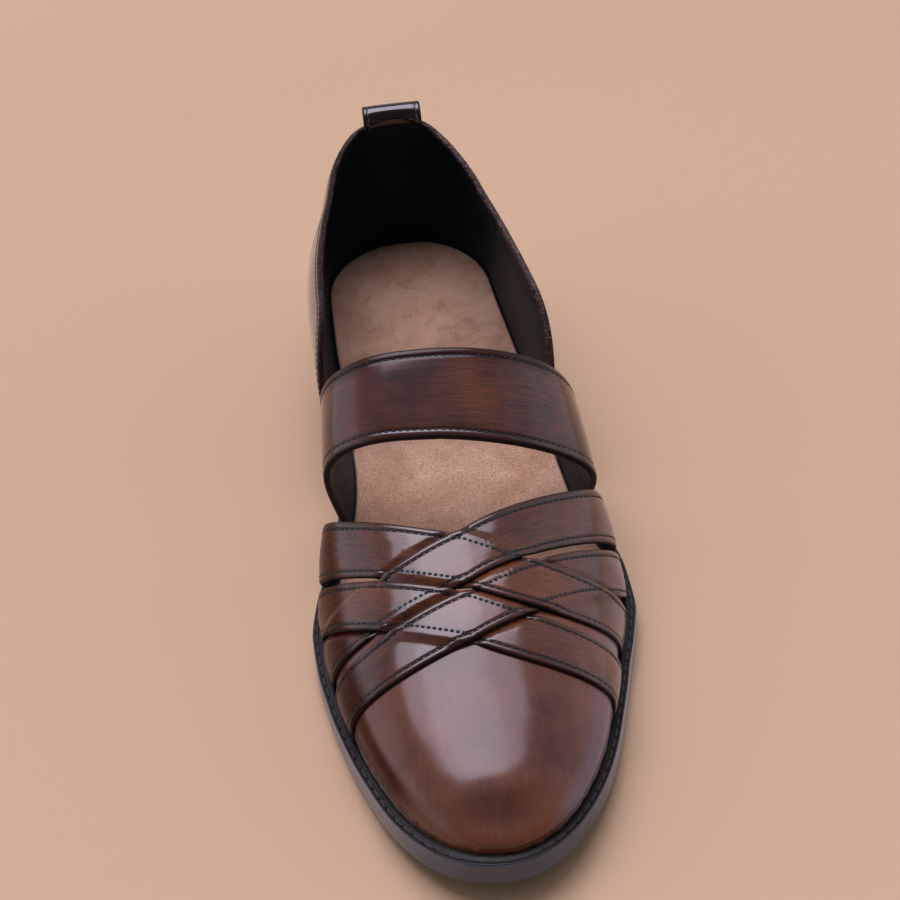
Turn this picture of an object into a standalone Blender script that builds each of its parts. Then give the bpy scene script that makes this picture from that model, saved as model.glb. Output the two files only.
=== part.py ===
"""Peshawari chappal, left shoe, as an assembly of its real pieces.

Everything is worked out in millimetres on the shoe's own stations: s runs forward from the back of
the heel, x runs sideways (medial, the big-toe side, is negative), z runs up from the floor.
The finished objects are in metres, toe towards -Y.
"""
import math
import bpy
import bmesh
import numpy as np
from mathutils import Vector
from mathutils.geometry import delaunay_2d_cdt

# ------------------------------------------------------------------ driving sizes (mm)
LENGTH = 300.0        # outsole, heel back to toe tip
TOE_ROUND = 225.0     # station where the toe's rounding begins
HEEL_ROUND = 37.0     # station where the heel's rounding ends
TOE_SPRING = 8.5      # rise of the sole's underside at the toe tip
TREAD_FRONT = 213.0   # the forefoot stands flat on the floor up to this station
BALL = 178.0          # station behind which the waist starts to rise
SEAT = 62.0           # station in front of which the heel seat is level
HEEL_LIFT = 12.7      # height of the heel block
HEEL_BREAST = 69.0    # front of the heel block
OUTSOLE_T = 5.3
WELT_T = 3.0
INSOLE_RISE = 2.2     # insole's top over the welt's top
GAP = 0.35            # clearance between touching pieces
UPPER_T = 2.2         # leather and lining together
STRAP_T = 2.4
LOOP_T = 1.6
FAN = 250.0           # station from which the sections fan round the toe
FAN_END = 268.0       # front end of the ridge
TIP = LENGTH - 5.0    # front point of the upper's lower edge
STAND = OUTSOLE_T + GAP + WELT_T
HALF_GIRTH = 74.0     # lower edge to ridge over the cross straps
MM = 0.001

# plan of the outsole: half-width on each side of the centre line
PLAN = dict(
    s=[0, 37, 65, 95, 125, 155, 180, 195, 210, 225, 245, 265, 285, 300],
    med=[35.2, 35.4, 35.6, 34.6, 34.8, 39.2, 46.8, 48.9, 48.2, 46.0, 43.1, 41.6, 42.2, 44.2],
    lat=[32.0, 34.0, 36.8, 40.6, 44.6, 49.0, 54.4, 54.8, 52.0, 47.8, 43.9, 42.0, 40.5, 40.0])
# how far the upper's lower edge stands inside the sole's edge
INSET = dict(
    s=[0, 30, 100, 150, 200, 250, 300],
    med=[2.2, 2.4, 3.0, 3.6, 4.2, 4.4, 5.2],
    lat=[2.2, 2.4, 3.0, 3.6, 4.0, 4.4, 5.0])
# ridge of the last: height over the welt, and sideways offset
RIDGE = dict(
    s=[85, 110, 135, 160, 185, 210, 235, 260, 280, 296],
    high=[74.0, 70.5, 64.2, 54.5, 45.6, 37.9, 31.0, 22.4, 13.8, 7.5],
    side=[-3.0, -3.2, -3.1, -2.6, -0.6, 1.2, 0.8, 0.0, 0.0, 0.0])
# form of the section between lower edge and ridge: fullness on each side, rise, and belly in mm
FORM = dict(
    s=[100, 150, 200, 240, 290],
    full_med=[0.62, 0.71, 0.84, 0.83, 0.76],
    full_lat=[0.62, 0.95, 1.15, 1.08, 0.62],
    rise=[0.83, 0.72, 1.10, 0.96, 0.85],
    belly_med=[8.4, 5.0, 2.0, 3.8, 1.6],
    belly_lat=[6.4, 4.4, 1.4, 5.0, 4.0])
# crossed straps: station of the centre line = c0 + c1 w + c2 w^2 + c3 w^3, w from -1 at the medial
# edge over 0 at the ridge to +1 at the lateral edge; each narrows by its taper towards its rear end
CROSS = dict(
    L1=dict(c=[208.7, 31.2, -20.6, -10.3], width=17.2, taper=2.6),
    L2=dict(c=[228.0, 30.0, -15.2, -4.8], width=16.2, taper=2.0),
    R1=dict(c=[207.1, -31.1, -18.9, 10.4], width=16.4, taper=1.6),
    R2=dict(c=[226.6, -28.7, -16.9, 5.7], width=16.0, taper=1.4))
# rear edge of the toe vamp, under the straps
VAMP_REAR = [222.0, 0.0, -16.0, 0.0]
# wide instep strap: rear and front edge
INSTEP = dict(rear=[139.5, 4.5, -15.5, 1.0], front=[167.1, 10.6, -12.9, -9.2], spring=2.8)
# back quarter: height over the welt, lean of the topline, belly of the wall
QUARTER = dict(
    s=[0, 4, 12, 20, 30, 55, 90, 130],
    high=[56.5, 55.9, 53.2, 50.8, 48.9, 49.3, 47.2, 41.5],
    lean_med=[-2.2, -2.6, -5.0, -6.4, -6.9, -3.3, 1.7, 3.0],
    lean_lat=[-2.2, -2.7, -5.0, -5.7, -5.4, -3.0, 0.8, 5.0],
    belly_med=[2.8, 2.9, 3.1, 2.6, 1.2, 5.5, 6.4, 4.4],
    belly_lat=[2.8, 2.7, 2.6, 2.4, 2.2, 2.0, 0.6, -1.6])
QUARTER_FRONT = {-1: 117.5, 1: 127.5}   # front foot of the quarter on each side
QUARTER_ROUND = {-1: 27.0, 1: 31.0}     # length over which its front corner rounds down
LOOP = dict(width=20.5, stand=6.3, outer_leg=17.0, inner_leg=5.0, swell=1.0)

# ------------------------------------------------------------------ the last's own functions


def smooth(table, column, s):
    """value of a table's column at station s, on a smooth curve that never overshoots its rows"""
    x = np.asarray(table['s'], float)
    y = np.asarray(table[column], float)
    h = np.diff(x)
    d = np.diff(y) / h
    m = np.zeros(len(x))
    for i in range(1, len(x) - 1):
        if d[i - 1] * d[i] > 0:
            a, b = 2 * h[i] + h[i - 1], h[i] + 2 * h[i - 1]
            m[i] = (a + b) / (a / d[i - 1] + b / d[i])
    m[0], m[-1] = d[0], d[-1]
    s = np.clip(np.asarray(s, float), x[0], x[-1])
    k = np.clip(np.searchsorted(x, s, side='right') - 1, 0, len(x) - 2)
    t = (s - x[k]) / h[k]
    return ((1 + 2 * t) * (1 - t) ** 2 * y[k] + t * (1 - t) ** 2 * h[k] * m[k]
            + t * t * (3 - 2 * t) * y[k + 1] + t * t * (t - 1) * h[k] * m[k + 1])


def ease(t):
    t = np.clip(t, 0, 1)
    return t * t * (3 - 2 * t)


def cubic(c, w):
    w = np.asarray(w, float)
    return c[0] + c[1] * w + c[2] * w * w + c[3] * w ** 3


def half(s, side):
    """half-width of the outsole at station s on side -1 (medial) or +1 (lateral)"""
    s = np.asarray(s, float)
    u = np.clip((s - TOE_ROUND) / (LENGTH - TOE_ROUND), 0, 1)
    v = np.clip((HEEL_ROUND - s) / HEEL_ROUND, 0, 1)
    return (smooth(PLAN, 'med' if side < 0 else 'lat', s)
            * np.sqrt(np.clip(1 - u * u, 0, 1)) * np.sqrt(np.clip(1 - v ** 2.1, 0, 1)))


def under(s):
    """height of the outsole's underside: flat tread, toe spring, raised waist, level heel seat"""
    s = np.asarray(s, float)
    toe = np.clip((s - TREAD_FRONT) / (LENGTH - TREAD_FRONT), 0, 1) ** 2 * TOE_SPRING
    return toe + HEEL_LIFT * ease((BALL - s) / (BALL - SEAT))


def seat(s):
    """height of the welt's top"""
    return under(s) + STAND


def rim(n, table=None, extra=0.0):
    """plan outline set in from the sole's edge: arrays of (s, x), medial then lateral, heel to toe"""
    s = LENGTH * (1 - np.cos(np.pi * np.linspace(0, 1, n))) / 2
    out = []
    for side, col in ((-1, 'med'), (1, 'lat')):
        x = side * half(s, side)
        ds, dx = np.gradient(s), np.gradient(x)
        run = np.hypot(ds, dx) + 1e-12
        k = (smooth(table, col, s) if table else 0.0) + extra
        out.append(np.stack([s + side * dx / run * k, x - side * ds / run * k], 1))
    return out


FOOT = dict(zip((-1, 1), rim(241, INSET)))


def toe_arc(line):
    i = int(np.argmax(line[:, 0] >= FAN))
    t = (FAN - line[i - 1, 0]) / (line[i, 0] - line[i - 1, 0])
    p = np.vstack([line[i - 1] + (line[i] - line[i - 1]) * t, line[i:]])
    p[-1] = (TIP, 0.0)
    return p, np.concatenate([[0], np.cumsum(np.hypot(*np.diff(p, axis=0).T))])


TOE = {side: toe_arc(FOOT[side]) for side in (-1, 1)}
TOE_ARC = 0.5 * (TOE[-1][1][-1] + TOE[1][1][-1])
A_MAX = FAN + TOE_ARC


def foot(a, side):
    """(s, x) of the upper's lower edge: a is the station up to FAN, then the distance round the toe"""
    a = np.asarray(a, float)
    line = FOOT[side]
    i = int(np.argmax(line[:, 0]))
    x1 = np.interp(np.minimum(a, FAN), line[:i + 1, 0], line[:i + 1, 1])
    p, d = TOE[side]
    f = np.clip((a - FAN) / TOE_ARC, 0, 1) * d[-1]
    return (np.where(a <= FAN, a, np.interp(f, d, p[:, 0])),
            np.where(a <= FAN, x1, np.interp(f, d, p[:, 1])))


def last(a, w):
    """outer surface of the upper over the last, as (x, s, z)"""
    a, w = np.broadcast_arrays(np.asarray(a, float), np.asarray(w, float))
    (sm, xm), (sl, xl) = foot(a, -1), foot(a, 1)
    med = w < 0
    sf, xf = np.where(med, sm, sl), np.where(med, xm, xl)
    t = np.clip((a - FAN) / TOE_ARC, 0, 1)
    sr = np.where(a <= FAN, a, FAN + t * (2 - t) * (FAN_END - FAN))
    xr = smooth(RIDGE, 'side', sr)
    th = math.pi / 2 * (1 - np.abs(w))
    both = 0.5 * ease((a - (A_MAX - 26)) / 26)        # the two sides become one form at the toe
    full_m, full_l = smooth(FORM, 'full_med', sf), smooth(FORM, 'full_lat', sf)
    belly_m, belly_l = smooth(FORM, 'belly_med', sf), smooth(FORM, 'belly_lat', sf)
    full = np.where(med, full_m + (full_l - full_m) * both, full_l + (full_m - full_l) * both)
    belly = np.where(med, belly_m + (belly_l - belly_m) * both, belly_l + (belly_m - belly_l) * both)
    dx, ds = xf - xr, sf - sr
    run = np.hypot(dx, ds) + 1e-9
    out = np.clip(np.cos(th), 0, 1) ** full * run + 1.3 * belly * np.sin(2 * th) * np.cos(th)
    s = sr + ds / run * out
    z = seat(s) + GAP + smooth(RIDGE, 'high', s) * np.clip(np.sin(th), 0, 1) ** smooth(FORM, 'rise', sf)
    return np.stack([xr + dx / run * out, s, z], -1)


def instep(a, w):
    """outer surface of the wide strap: it springs clear of the last between its ends"""
    p = last(a, w)
    lift = INSTEP['spring'] * (1 - np.abs(w) ** 5)
    th = math.pi / 2 * (1 - np.abs(w))
    p[..., 0] += np.sign(w) * lift * np.cos(th) ** 0.5
    p[..., 2] += lift * np.sin(th) * 0.5
    return p


BACK = {}
for side in (-1, 1):
    line = FOOT[side]
    d = np.concatenate([[0], np.cumsum(np.hypot(*np.diff(line, axis=0).T))])
    g = np.gradient(line, axis=0)
    g /= np.hypot(g[:, 0], g[:, 1])[:, None]
    BACK[side] = (d, line, np.stack([-g[:, 1] * side, g[:, 0] * side], 1))


def back_station(c):
    """foot point and outward plan direction at distance c round the heel (negative: medial)"""
    c = np.asarray(c, float)
    out = []
    for k in range(2):
        out.append([np.where(c < 0, np.interp(-c, BACK[-1][0], BACK[-1][j][:, k]),
                             np.interp(c, BACK[1][0], BACK[1][j][:, k])) for j in (1, 2)])
    return out[0][0], out[1][0], out[0][1], out[1][1]


def quarter(c, v, n=0.0):
    """outer face of the back quarter at distance c round the heel, height v over the welt, moved out by n"""
    c, v = np.broadcast_arrays(np.asarray(c, float), np.asarray(v, float))
    s, x, ns, nx = back_station(c)
    g = v / smooth(QUARTER, 'high', s)
    mix = ease((c + 12) / 24)
    lean = smooth(QUARTER, 'lean_med', s) * (1 - mix) + smooth(QUARTER, 'lean_lat', s) * mix
    belly = smooth(QUARTER, 'belly_med', s) * (1 - mix) + smooth(QUARTER, 'belly_lat', s) * mix
    out = lean * g * g + 4 * belly * g * (1 - g) + n
    return np.stack([x + nx * out, s + ns * out, seat(s) + GAP + v], -1)


def quarter_top(c):
    """height of the quarter over the welt, with its rounded front corners"""
    c = np.asarray(c, float)
    s = back_station(c)[0]
    front = np.where(c < 0, QUARTER_FRONT[-1], QUARTER_FRONT[1])
    length = np.where(c < 0, QUARTER_ROUND[-1], QUARTER_ROUND[1])
    u = np.clip((s - (front - length)) / length, 0, 1)
    return smooth(QUARTER, 'high', s) * (1 - u ** 2.3) ** (1 / 2.3)


# ------------------------------------------------------------------ mesh helpers

for old in list(bpy.data.objects):
    bpy.data.objects.remove(old, do_unlink=True)

shoe = bpy.data.collections.new("peshawari_chappal")
bpy.context.scene.collection.children.link(shoe)


def material(name, colour, roughness, coat=0.0):
    m = bpy.data.materials.new(name)
    m.use_nodes = True
    b = m.node_tree.nodes["Principled BSDF"]
    b.inputs["Base Color"].default_value = (*colour, 1.0)
    b.inputs["Roughness"].default_value = roughness
    b.inputs["Metallic"].default_value = 0.0
    b.inputs["Coat Weight"].default_value = coat
    m.diffuse_color = (*colour, 1.0)
    return m


def add(name, verts, faces, mat, thickness=None):
    """object from (x, s, z) points in mm; with a thickness, an open outer face made solid inwards"""
    me = bpy.data.meshes.new(name)
    me.from_pydata([(p[0] * MM, -p[1] * MM, p[2] * MM) for p in verts], [], faces)
    me.validate()
    bm = bmesh.new()
    bm.from_mesh(me)
    bmesh.ops.remove_doubles(bm, verts=bm.verts, dist=0.00002)
    if thickness is None:
        bmesh.ops.recalc_face_normals(bm, faces=bm.faces)
    bm.to_mesh(me)
    bm.free()
    me.shade_smooth()
    me.set_sharp_from_angle(angle=math.radians(35))
    ob = bpy.data.objects.new(name, me)
    shoe.objects.link(ob)
    me.materials.append(mat)
    if thickness:
        so = ob.modifiers.new("wall", 'SOLIDIFY')
        so.thickness = thickness * MM
        so.offset = -1.0
        so.use_even_offset = False
        so.use_quality_normals = True
        so.use_rim = True
    return ob


def plate(name, rows, across, top, bottom, mat):
    """solid between two surfaces over a plan given as rows of (s, x_medial, x_lateral)"""
    n = len(rows)
    k = len(across)
    verts = []
    for level in (top, bottom):
        for s, a, b in rows:
            verts += [(a + (b - a) * t, s, float(level(s))) for t in across]
    at = lambda level, i, j: level * n * k + i * k + j
    faces = []
    for i in range(n - 1):
        for j in range(k - 1):
            faces.append((at(0, i, j), at(0, i, j + 1), at(0, i + 1, j + 1), at(0, i + 1, j)))
            faces.append((at(1, i, j), at(1, i + 1, j), at(1, i + 1, j + 1), at(1, i, j + 1)))
        for j in (0, k - 1):
            faces.append((at(0, i, j), at(0, i + 1, j), at(1, i + 1, j), at(1, i, j)))
    for i in (0, n - 1):
        for j in range(k - 1):
            faces.append((at(0, i, j), at(0, i, j + 1), at(1, i, j + 1), at(1, i, j)))
    return add(name, verts, faces, mat)


def stations(first, end, must, n):
    """stations crowded towards the rounded ends, passing through the ones that must be hit"""
    u = np.linspace(0, 1, n)
    s = first + (end - first) * (1 - np.cos(np.pi * u)) / 2 * 0.6 + (end - first) * u * 0.4
    s[0], s[-1] = first, end
    for m in must:
        s[int(np.argmin(np.abs(s - m)))] = m
    return sorted(set(round(float(v), 4) for v in s))


def grid_faces(n, k, closed=False):
    return [(i * k + j, i * k + j + 1, (i + 1) % n * k + j + 1, (i + 1) % n * k + j)
            for i in range(n if closed else n - 1) for j in range(k - 1)]


LEATHER = material("burnished_leather", (0.115, 0.038, 0.022), 0.22, 0.6)
LEATHER_BACK = material("patent_quarter", (0.075, 0.026, 0.018), 0.15, 0.8)
LEATHER_STRAP = material("strap_leather", (0.095, 0.032, 0.020), 0.22, 0.6)
SUEDE = material("tan_suede", (0.46, 0.27, 0.16), 0.9)
SOLE = material("dark_sole", (0.040, 0.038, 0.045), 0.45)
WELT = material("black_welt", (0.022, 0.018, 0.018), 0.5)
HEEL = material("heel_block", (0.035, 0.033, 0.038), 0.45)

ACROSS = [0.0, 0.04, 0.15, 0.35, 0.5, 0.65, 0.85, 0.96, 1.0]

# ------------------------------------------------------------------ sole


def outsole():
    rows = [(s, -half(s, -1), half(s, 1))
            for s in stations(0.35, LENGTH - 0.35, (SEAT, BALL, TREAD_FRONT), 49)]
    plate("outsole", rows, ACROSS, lambda s: under(s) + OUTSOLE_T, under, SOLE)


def heel():
    rows = []
    for s in stations(0.9, HEEL_BREAST, (), 21):
        k = 0.7
        rows.append((s, -half(s, -1) + k, half(s, 1) - k))
    plate("heel", rows, ACROSS, lambda s: under(s) - GAP, lambda s: 0.0, HEEL)


def ring_point(line, t):
    """point at fraction t of a line's own index"""
    i = np.linspace(0, 1, len(line))
    return np.interp(t, i, line[:, 0]), np.interp(t, i, line[:, 1])


def welt():
    """strip round the sole's edge, wide enough to carry the upper's wall"""
    outer = rim(181, None, 0.4)
    inner = rim(181, INSET, UPPER_T + GAP)
    loops = []
    t = np.linspace(0, 1, 46)
    for lines in (outer, inner):
        m = [ring_point(lines[0], u) for u in t]
        l = [ring_point(lines[1], u) for u in t]
        loop = m[1:-1] + [((m[-1][0] + l[-1][0]) / 2, 0.0)] + l[-2:0:-1] + [((m[0][0] + l[0][0]) / 2, 0.0)]
        loops.append(loop)
    n = len(loops[0])
    verts, faces = [], []
    for i in range(n):
        (so, xo), (si, xi) = loops[0][i], loops[1][i]
        verts += [(xo, so, seat(so)), (xi, si, seat(si)),
                  (xi, si, seat(si) - WELT_T), (xo, so, seat(so) - WELT_T)]
    for i in range(n):
        j = (i + 1) % n
        for k in range(4):
            faces.append((4 * i + k, 4 * i + (k + 1) % 4, 4 * j + (k + 1) % 4, 4 * j + k))
    add("welt", verts, faces, WELT)


def insole():
    """board and suede sock: the plate that the foot stands on, inside the upper's wall"""
    lines = rim(241, INSET, UPPER_T + 2.0 * GAP)
    first = max(l[0, 0] for l in lines) + 0.35
    end = min(l[:, 0].max() for l in lines) - 0.35
    edge = lambda s, l: float(np.interp(s, l[:int(np.argmax(l[:, 0])) + 1, 0], l[:int(np.argmax(l[:, 0])) + 1, 1]))
    rows = [(s, edge(s, lines[0]), edge(s, lines[1])) for s in stations(first, end, (SEAT, BALL), 31)]
    plate("insole", rows, ACROSS, lambda s: seat(s) + INSOLE_RISE,
          lambda s: under(s) + OUTSOLE_T + GAP, SUEDE)


# ------------------------------------------------------------------ upper


def strap_edge(name, side, w):
    """station of a crossed strap's rear (-1) or front (+1) edge, at its own width across its run"""
    c = CROSS[name]['c']
    rear_end = max(0.0, -w if name[0] == 'L' else w)
    width = CROSS[name]['width'] - CROSS[name]['taper'] * rear_end ** 3
    slope = (c[1] + 2 * c[2] * w + 3 * c[3] * w * w) / HALF_GIRTH
    return cubic(c, w) + side * width / 2 * math.sqrt(1 + slope * slope)


def loops_of(tris):
    """outer edges of a set of triangles, chained into closed loops"""
    count = {}
    for t in tris:
        for i in range(3):
            e = (t[i], t[(i + 1) % 3])
            count[e] = count.get(e, 0) + 1
    nxt = {}
    for (a, b) in count:
        if (b, a) not in count:
            nxt.setdefault(a, []).append(b)
    loops = []
    while nxt:
        a = start = next(iter(nxt))
        loop = []
        while True:
            loop.append(a)
            b = nxt[a].pop(0)
            if not nxt[a]:
                del nxt[a]
            a = b
            if a == start or a not in nxt:
                break
        loops.append(loop)
    return loops


def even(points, step, corner=math.radians(24)):
    """a closed loop redrawn with even steps between its corners"""
    p = [Vector(q) for q in points]
    n = len(p)
    keep = []
    for i in range(n):
        a, b = p[i] - p[i - 1], p[(i + 1) % n] - p[i]
        if a.length > 1e-6 and b.length > 1e-6 and abs(a.angle_signed(b)) > corner:
            keep.append(i)
    if len(keep) < 2:
        keep = [0, n // 2]
    out = []
    for k, i in enumerate(keep):
        j = keep[(k + 1) % len(keep)]
        run = [p[m % n] for m in range(i, (j if j > i else j + n) + 1)]
        d = [0.0]
        for u, v in zip(run, run[1:]):
            d.append(d[-1] + (v - u).length)
        parts = max(1, round(d[-1] / step)) | 1     # odd, so that no point falls on the fold of the toe
        xs, ys = [q.x for q in run], [q.y for q in run]
        for m in range(parts):
            t = d[-1] * m / parts
            out.append((float(np.interp(t, d, xs)), float(np.interp(t, d, ys))))
    clean = []
    for q in out:
        if not clean or (Vector(q) - Vector(clean[-1])).length > 0.8:
            clean.append(q)
    return clean


def inside(q, loop):
    hit = False
    x, y = q
    for (x1, y1), (x2, y2) in zip(loop, loop[1:] + loop[:1]):
        if (y1 > y) != (y2 > y) and x < (x2 - x1) * (y - y1) / (y2 - y1) + x1:
            hit = not hit
    return hit


def away(q, loops):
    best = 1e9
    for loop in loops:
        a = np.array(loop)
        b = np.roll(a, -1, axis=0)
        d = b - a
        t = np.clip(((np.array(q) - a) * d).sum(1) / ((d * d).sum(1) + 1e-12), 0, 1)
        best = min(best, float(np.sqrt(((np.array(q) - a - d * t[:, None]) ** 2).sum(1)).min()))
    return best


def upper():
    """closed toe vamp and the four crossed straps joined to it, one hollow shell"""
    ws = np.linspace(-1, 1, 49)
    flat = lambda a, w: (float(a), float(w) * HALF_GIRTH)
    shapes = []
    for name in CROSS:
        shapes.append([flat(strap_edge(name, -1, w), w) for w in ws]
                      + [flat(strap_edge(name, 1, w), w) for w in ws[::-1]])
    shapes.append([flat(cubic(VAMP_REAR, w), w) for w in ws] + [flat(A_MAX, w) for w in ws[::-1]])
    verts, faces = [], []
    for shape in shapes:
        faces.append(list(range(len(verts), len(verts) + len(shape))))
        verts += [Vector(q) for q in reversed(shape)]
    v, _, f, _, _, of = delaunay_2d_cdt(verts, [], faces, 0, 1e-4)
    loops = loops_of([t for t, o in zip(f, of) if o])
    outlines = []
    for loop in loops:
        pts = [tuple(v[i]) for i in loop]
        area = 0.5 * sum(a[0] * b[1] - b[0] * a[1] for a, b in zip(pts, pts[1:] + pts[:1]))
        if abs(area) > 12.0:
            outlines.append((abs(area), even(pts, 4.6)))
    outlines.sort(key=lambda o: -o[0])
    outlines = [o[1] for o in outlines if len(o[1]) > 3]
    cloud, edges = [], []
    for loop in outlines:
        k = len(cloud)
        cloud += loop
        edges += [(k + i, k + (i + 1) % len(loop)) for i in range(len(loop))]
    step = 5.2
    for i in range(int((A_MAX - 150) / (step * 0.87))):
        for j in range(-16, 17):
            q = (150 + i * step * 0.87, (j + 0.5 * (i % 2)) * step)
            if abs(q[1]) < HALF_GIRTH and q[0] < A_MAX and inside(q, outlines[0]) \
                    and not any(inside(q, o) for o in outlines[1:]) and away(q, outlines) > 2.5:
                cloud.append(q)
    v, _, f, _, _, _ = delaunay_2d_cdt([Vector(q) for q in cloud], edges, [], 0, 1e-4)
    tris = []
    for t in f:
        c = sum((v[i] for i in t), Vector((0, 0))) / 3
        q = (c.x, c.y)
        if inside(q, outlines[0]) and not any(inside(q, o) for o in outlines[1:]):
            tris.append(tuple(t))
    a = np.array([q.x for q in v])
    w = np.clip(np.array([q.y for q in v]) / HALF_GIRTH, -1, 1)
    w[np.abs(w) < 1e-6] = 1e-6
    points = last(np.minimum(a, A_MAX), w)
    tip = a > A_MAX - 1e-4
    points[tip, 0] = last(A_MAX, np.abs(w[tip]))[..., 0]
    points[tip, 1] = last(A_MAX, np.abs(w[tip]))[..., 1]
    points[tip, 2] = last(A_MAX, np.abs(w[tip]))[..., 2]
    add("upper", [tuple(p) for p in points], tris, LEATHER, UPPER_T)


def instep_strap():
    w = np.sin(np.linspace(-1, 1, 33) * math.pi / 2 * 0.999)
    w = 0.55 * w + 0.45 * np.linspace(-1, 1, 33)
    w[np.abs(w) < 1e-6] = 1e-6
    across = np.linspace(0, 1, 6)
    verts = []
    for u in w:
        r, f = cubic(INSTEP['rear'], u), cubic(INSTEP['front'], u)
        verts += [tuple(p) for p in instep(r + (f - r) * across, u)]
    faces = grid_faces(len(w), len(across))
    add("instep_strap", verts, faces, LEATHER_STRAP, STRAP_T)


def heel_counter():
    reach = {}
    for side in (-1, 1):
        d, line, _ = BACK[side]
        reach[side] = float(np.interp(QUARTER_FRONT[side], line[:, 0][:200], d[:200]))
    body_m = np.linspace(-(reach[-1] - QUARTER_ROUND[-1]), 0, 22)[:-1]
    body_l = np.linspace(0, reach[1] - QUARTER_ROUND[1], 22)
    bend = 1 - (1 - np.linspace(0, 1, 10)) ** 2.2
    front_m = -(reach[-1] - QUARTER_ROUND[-1] + (QUARTER_ROUND[-1] - 0.12) * bend[1:])[::-1]
    front_l = reach[1] - QUARTER_ROUND[1] + (QUARTER_ROUND[1] - 0.12) * bend[1:]
    c = np.concatenate([front_m, body_m, body_l, front_l])
    f = np.linspace(0, 1, 9)
    verts = []
    for u in c:
        verts += [tuple(p) for p in quarter(u, quarter_top(u) * f)]
    add("heel_counter", verts, grid_faces(len(c), len(f)), LEATHER_BACK, UPPER_T)


def pull_loop():
    """leather tab folded over the topline at the back: long leg outside, short leg inside"""
    half_in = UPPER_T / 2 + GAP + 0.25
    path = []                        # (outward from the wall's middle, height over the topline)
    for t in np.linspace(0, 1, 5)[:-1]:
        path.append((half_in, -LOOP['outer_leg'] * (1 - t)))
    top = LOOP['stand'] - LOOP_T
    r = half_in + LOOP['swell']
    path += [(half_in, 0.2), (r, top - r)]
    for t in np.linspace(0, math.pi, 9)[1:-1]:
        path.append((r * math.cos(t), top - r + r * math.sin(t)))
    path += [(-r, top - r), (-half_in, 0.2)]
    path += [(-half_in - 0.2 * t, -LOOP['inner_leg'] * t) for t in (0.5, 1.0)]
    # the outer face of the folded strip, offset from its inner face
    p = np.array(path)
    tang = np.gradient(p, axis=0)
    tang /= np.hypot(tang[:, 0], tang[:, 1])[:, None]
    face = p + np.stack([tang[:, 1], -tang[:, 0]], 1) * LOOP_T
    cs = np.linspace(-LOOP['width'] / 2, LOOP['width'] / 2, 7)
    fold = float(quarter(6.0, float(quarter_top(6.0)), -UPPER_T / 2)[1])
    verts, faces = [], []
    k = len(p)
    for c in cs:
        turn = abs(float(back_station(c)[2])) ** 1.3
        high = float(quarter_top(c))
        flat_top = float(quarter_top(0.0))
        for q in (p, face):
            for n, h in q:
                level = max(0.0, min(1.0, (h + 4) / 5))
                base = high + (flat_top - high) * level
                v = base + h
                along = c
                for _ in range(4):
                    pt = quarter(along, min(v, high), -UPPER_T / 2)
                    along += c - pt[0]
                straight = max(0.0, min(1.0, h / 6))     # the fold itself runs straight
                pt[1] += straight * (fold - pt[1])
                pt[1] -= n / turn ** (1 - straight)
                pt[2] += v - min(v, high)
                verts.append(tuple(pt))
    at = lambda i, layer, j: i * 2 * k + layer * k + j
    for i in range(len(cs) - 1):
        for j in range(k - 1):
            faces.append((at(i, 0, j), at(i + 1, 0, j), at(i + 1, 0, j + 1), at(i, 0, j + 1)))
            faces.append((at(i, 1, j), at(i, 1, j + 1), at(i + 1, 1, j + 1), at(i + 1, 1, j)))
        for j in (0, k - 1):
            faces.append((at(i, 0, j), at(i, 1, j), at(i + 1, 1, j), at(i + 1, 0, j)))
    for i in (0, len(cs) - 1):
        for j in range(k - 1):
            faces.append((at(i, 0, j), at(i, 0, j + 1), at(i, 1, j + 1), at(i, 1, j)))
    add("pull_loop", verts, faces, LEATHER_STRAP)


outsole()
heel()
welt()
insole()
upper()
instep_strap()
heel_counter()
pull_loop()

# ------------------------------------------------------------------ origin under the middle of the shoe
bpy.context.view_layer.update()
deps = bpy.context.evaluated_depsgraph_get()
points = []
for ob in shoe.objects:
    mesh = ob.evaluated_get(deps).to_mesh()
    points += [tuple(v.co) for v in mesh.vertices]
    ob.evaluated_get(deps).to_mesh_clear()
points = np.array(points)
low, high = points.min(0), points.max(0)
shift = -(low + high) / 2
shift[2] = -low[2]
for ob in shoe.objects:
    for v in ob.data.vertices:
        v.co += Vector(shift)
print("shift_mm", [round(float(v) * 1000, 4) for v in shift],
      "size_mm", [round(float(v) * 1000, 2) for v in (high - low)])
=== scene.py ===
import math
import bpy
import bmesh
import numpy as np
from mathutils import Vector, Matrix

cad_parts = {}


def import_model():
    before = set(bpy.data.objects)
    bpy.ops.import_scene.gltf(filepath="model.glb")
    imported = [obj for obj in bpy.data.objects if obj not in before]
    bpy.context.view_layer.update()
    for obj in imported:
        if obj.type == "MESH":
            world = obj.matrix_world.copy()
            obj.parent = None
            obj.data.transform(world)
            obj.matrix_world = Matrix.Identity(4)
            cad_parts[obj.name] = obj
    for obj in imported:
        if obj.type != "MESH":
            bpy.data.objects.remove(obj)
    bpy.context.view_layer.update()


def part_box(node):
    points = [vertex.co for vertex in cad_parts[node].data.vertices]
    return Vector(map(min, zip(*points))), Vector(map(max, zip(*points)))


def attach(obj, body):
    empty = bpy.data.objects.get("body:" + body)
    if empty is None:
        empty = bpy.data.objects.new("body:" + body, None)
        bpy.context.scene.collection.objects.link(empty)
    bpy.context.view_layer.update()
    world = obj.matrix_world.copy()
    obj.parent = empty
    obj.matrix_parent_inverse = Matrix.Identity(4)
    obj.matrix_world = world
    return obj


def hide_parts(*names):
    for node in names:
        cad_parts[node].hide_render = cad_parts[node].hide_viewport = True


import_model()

scene = bpy.context.scene

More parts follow.
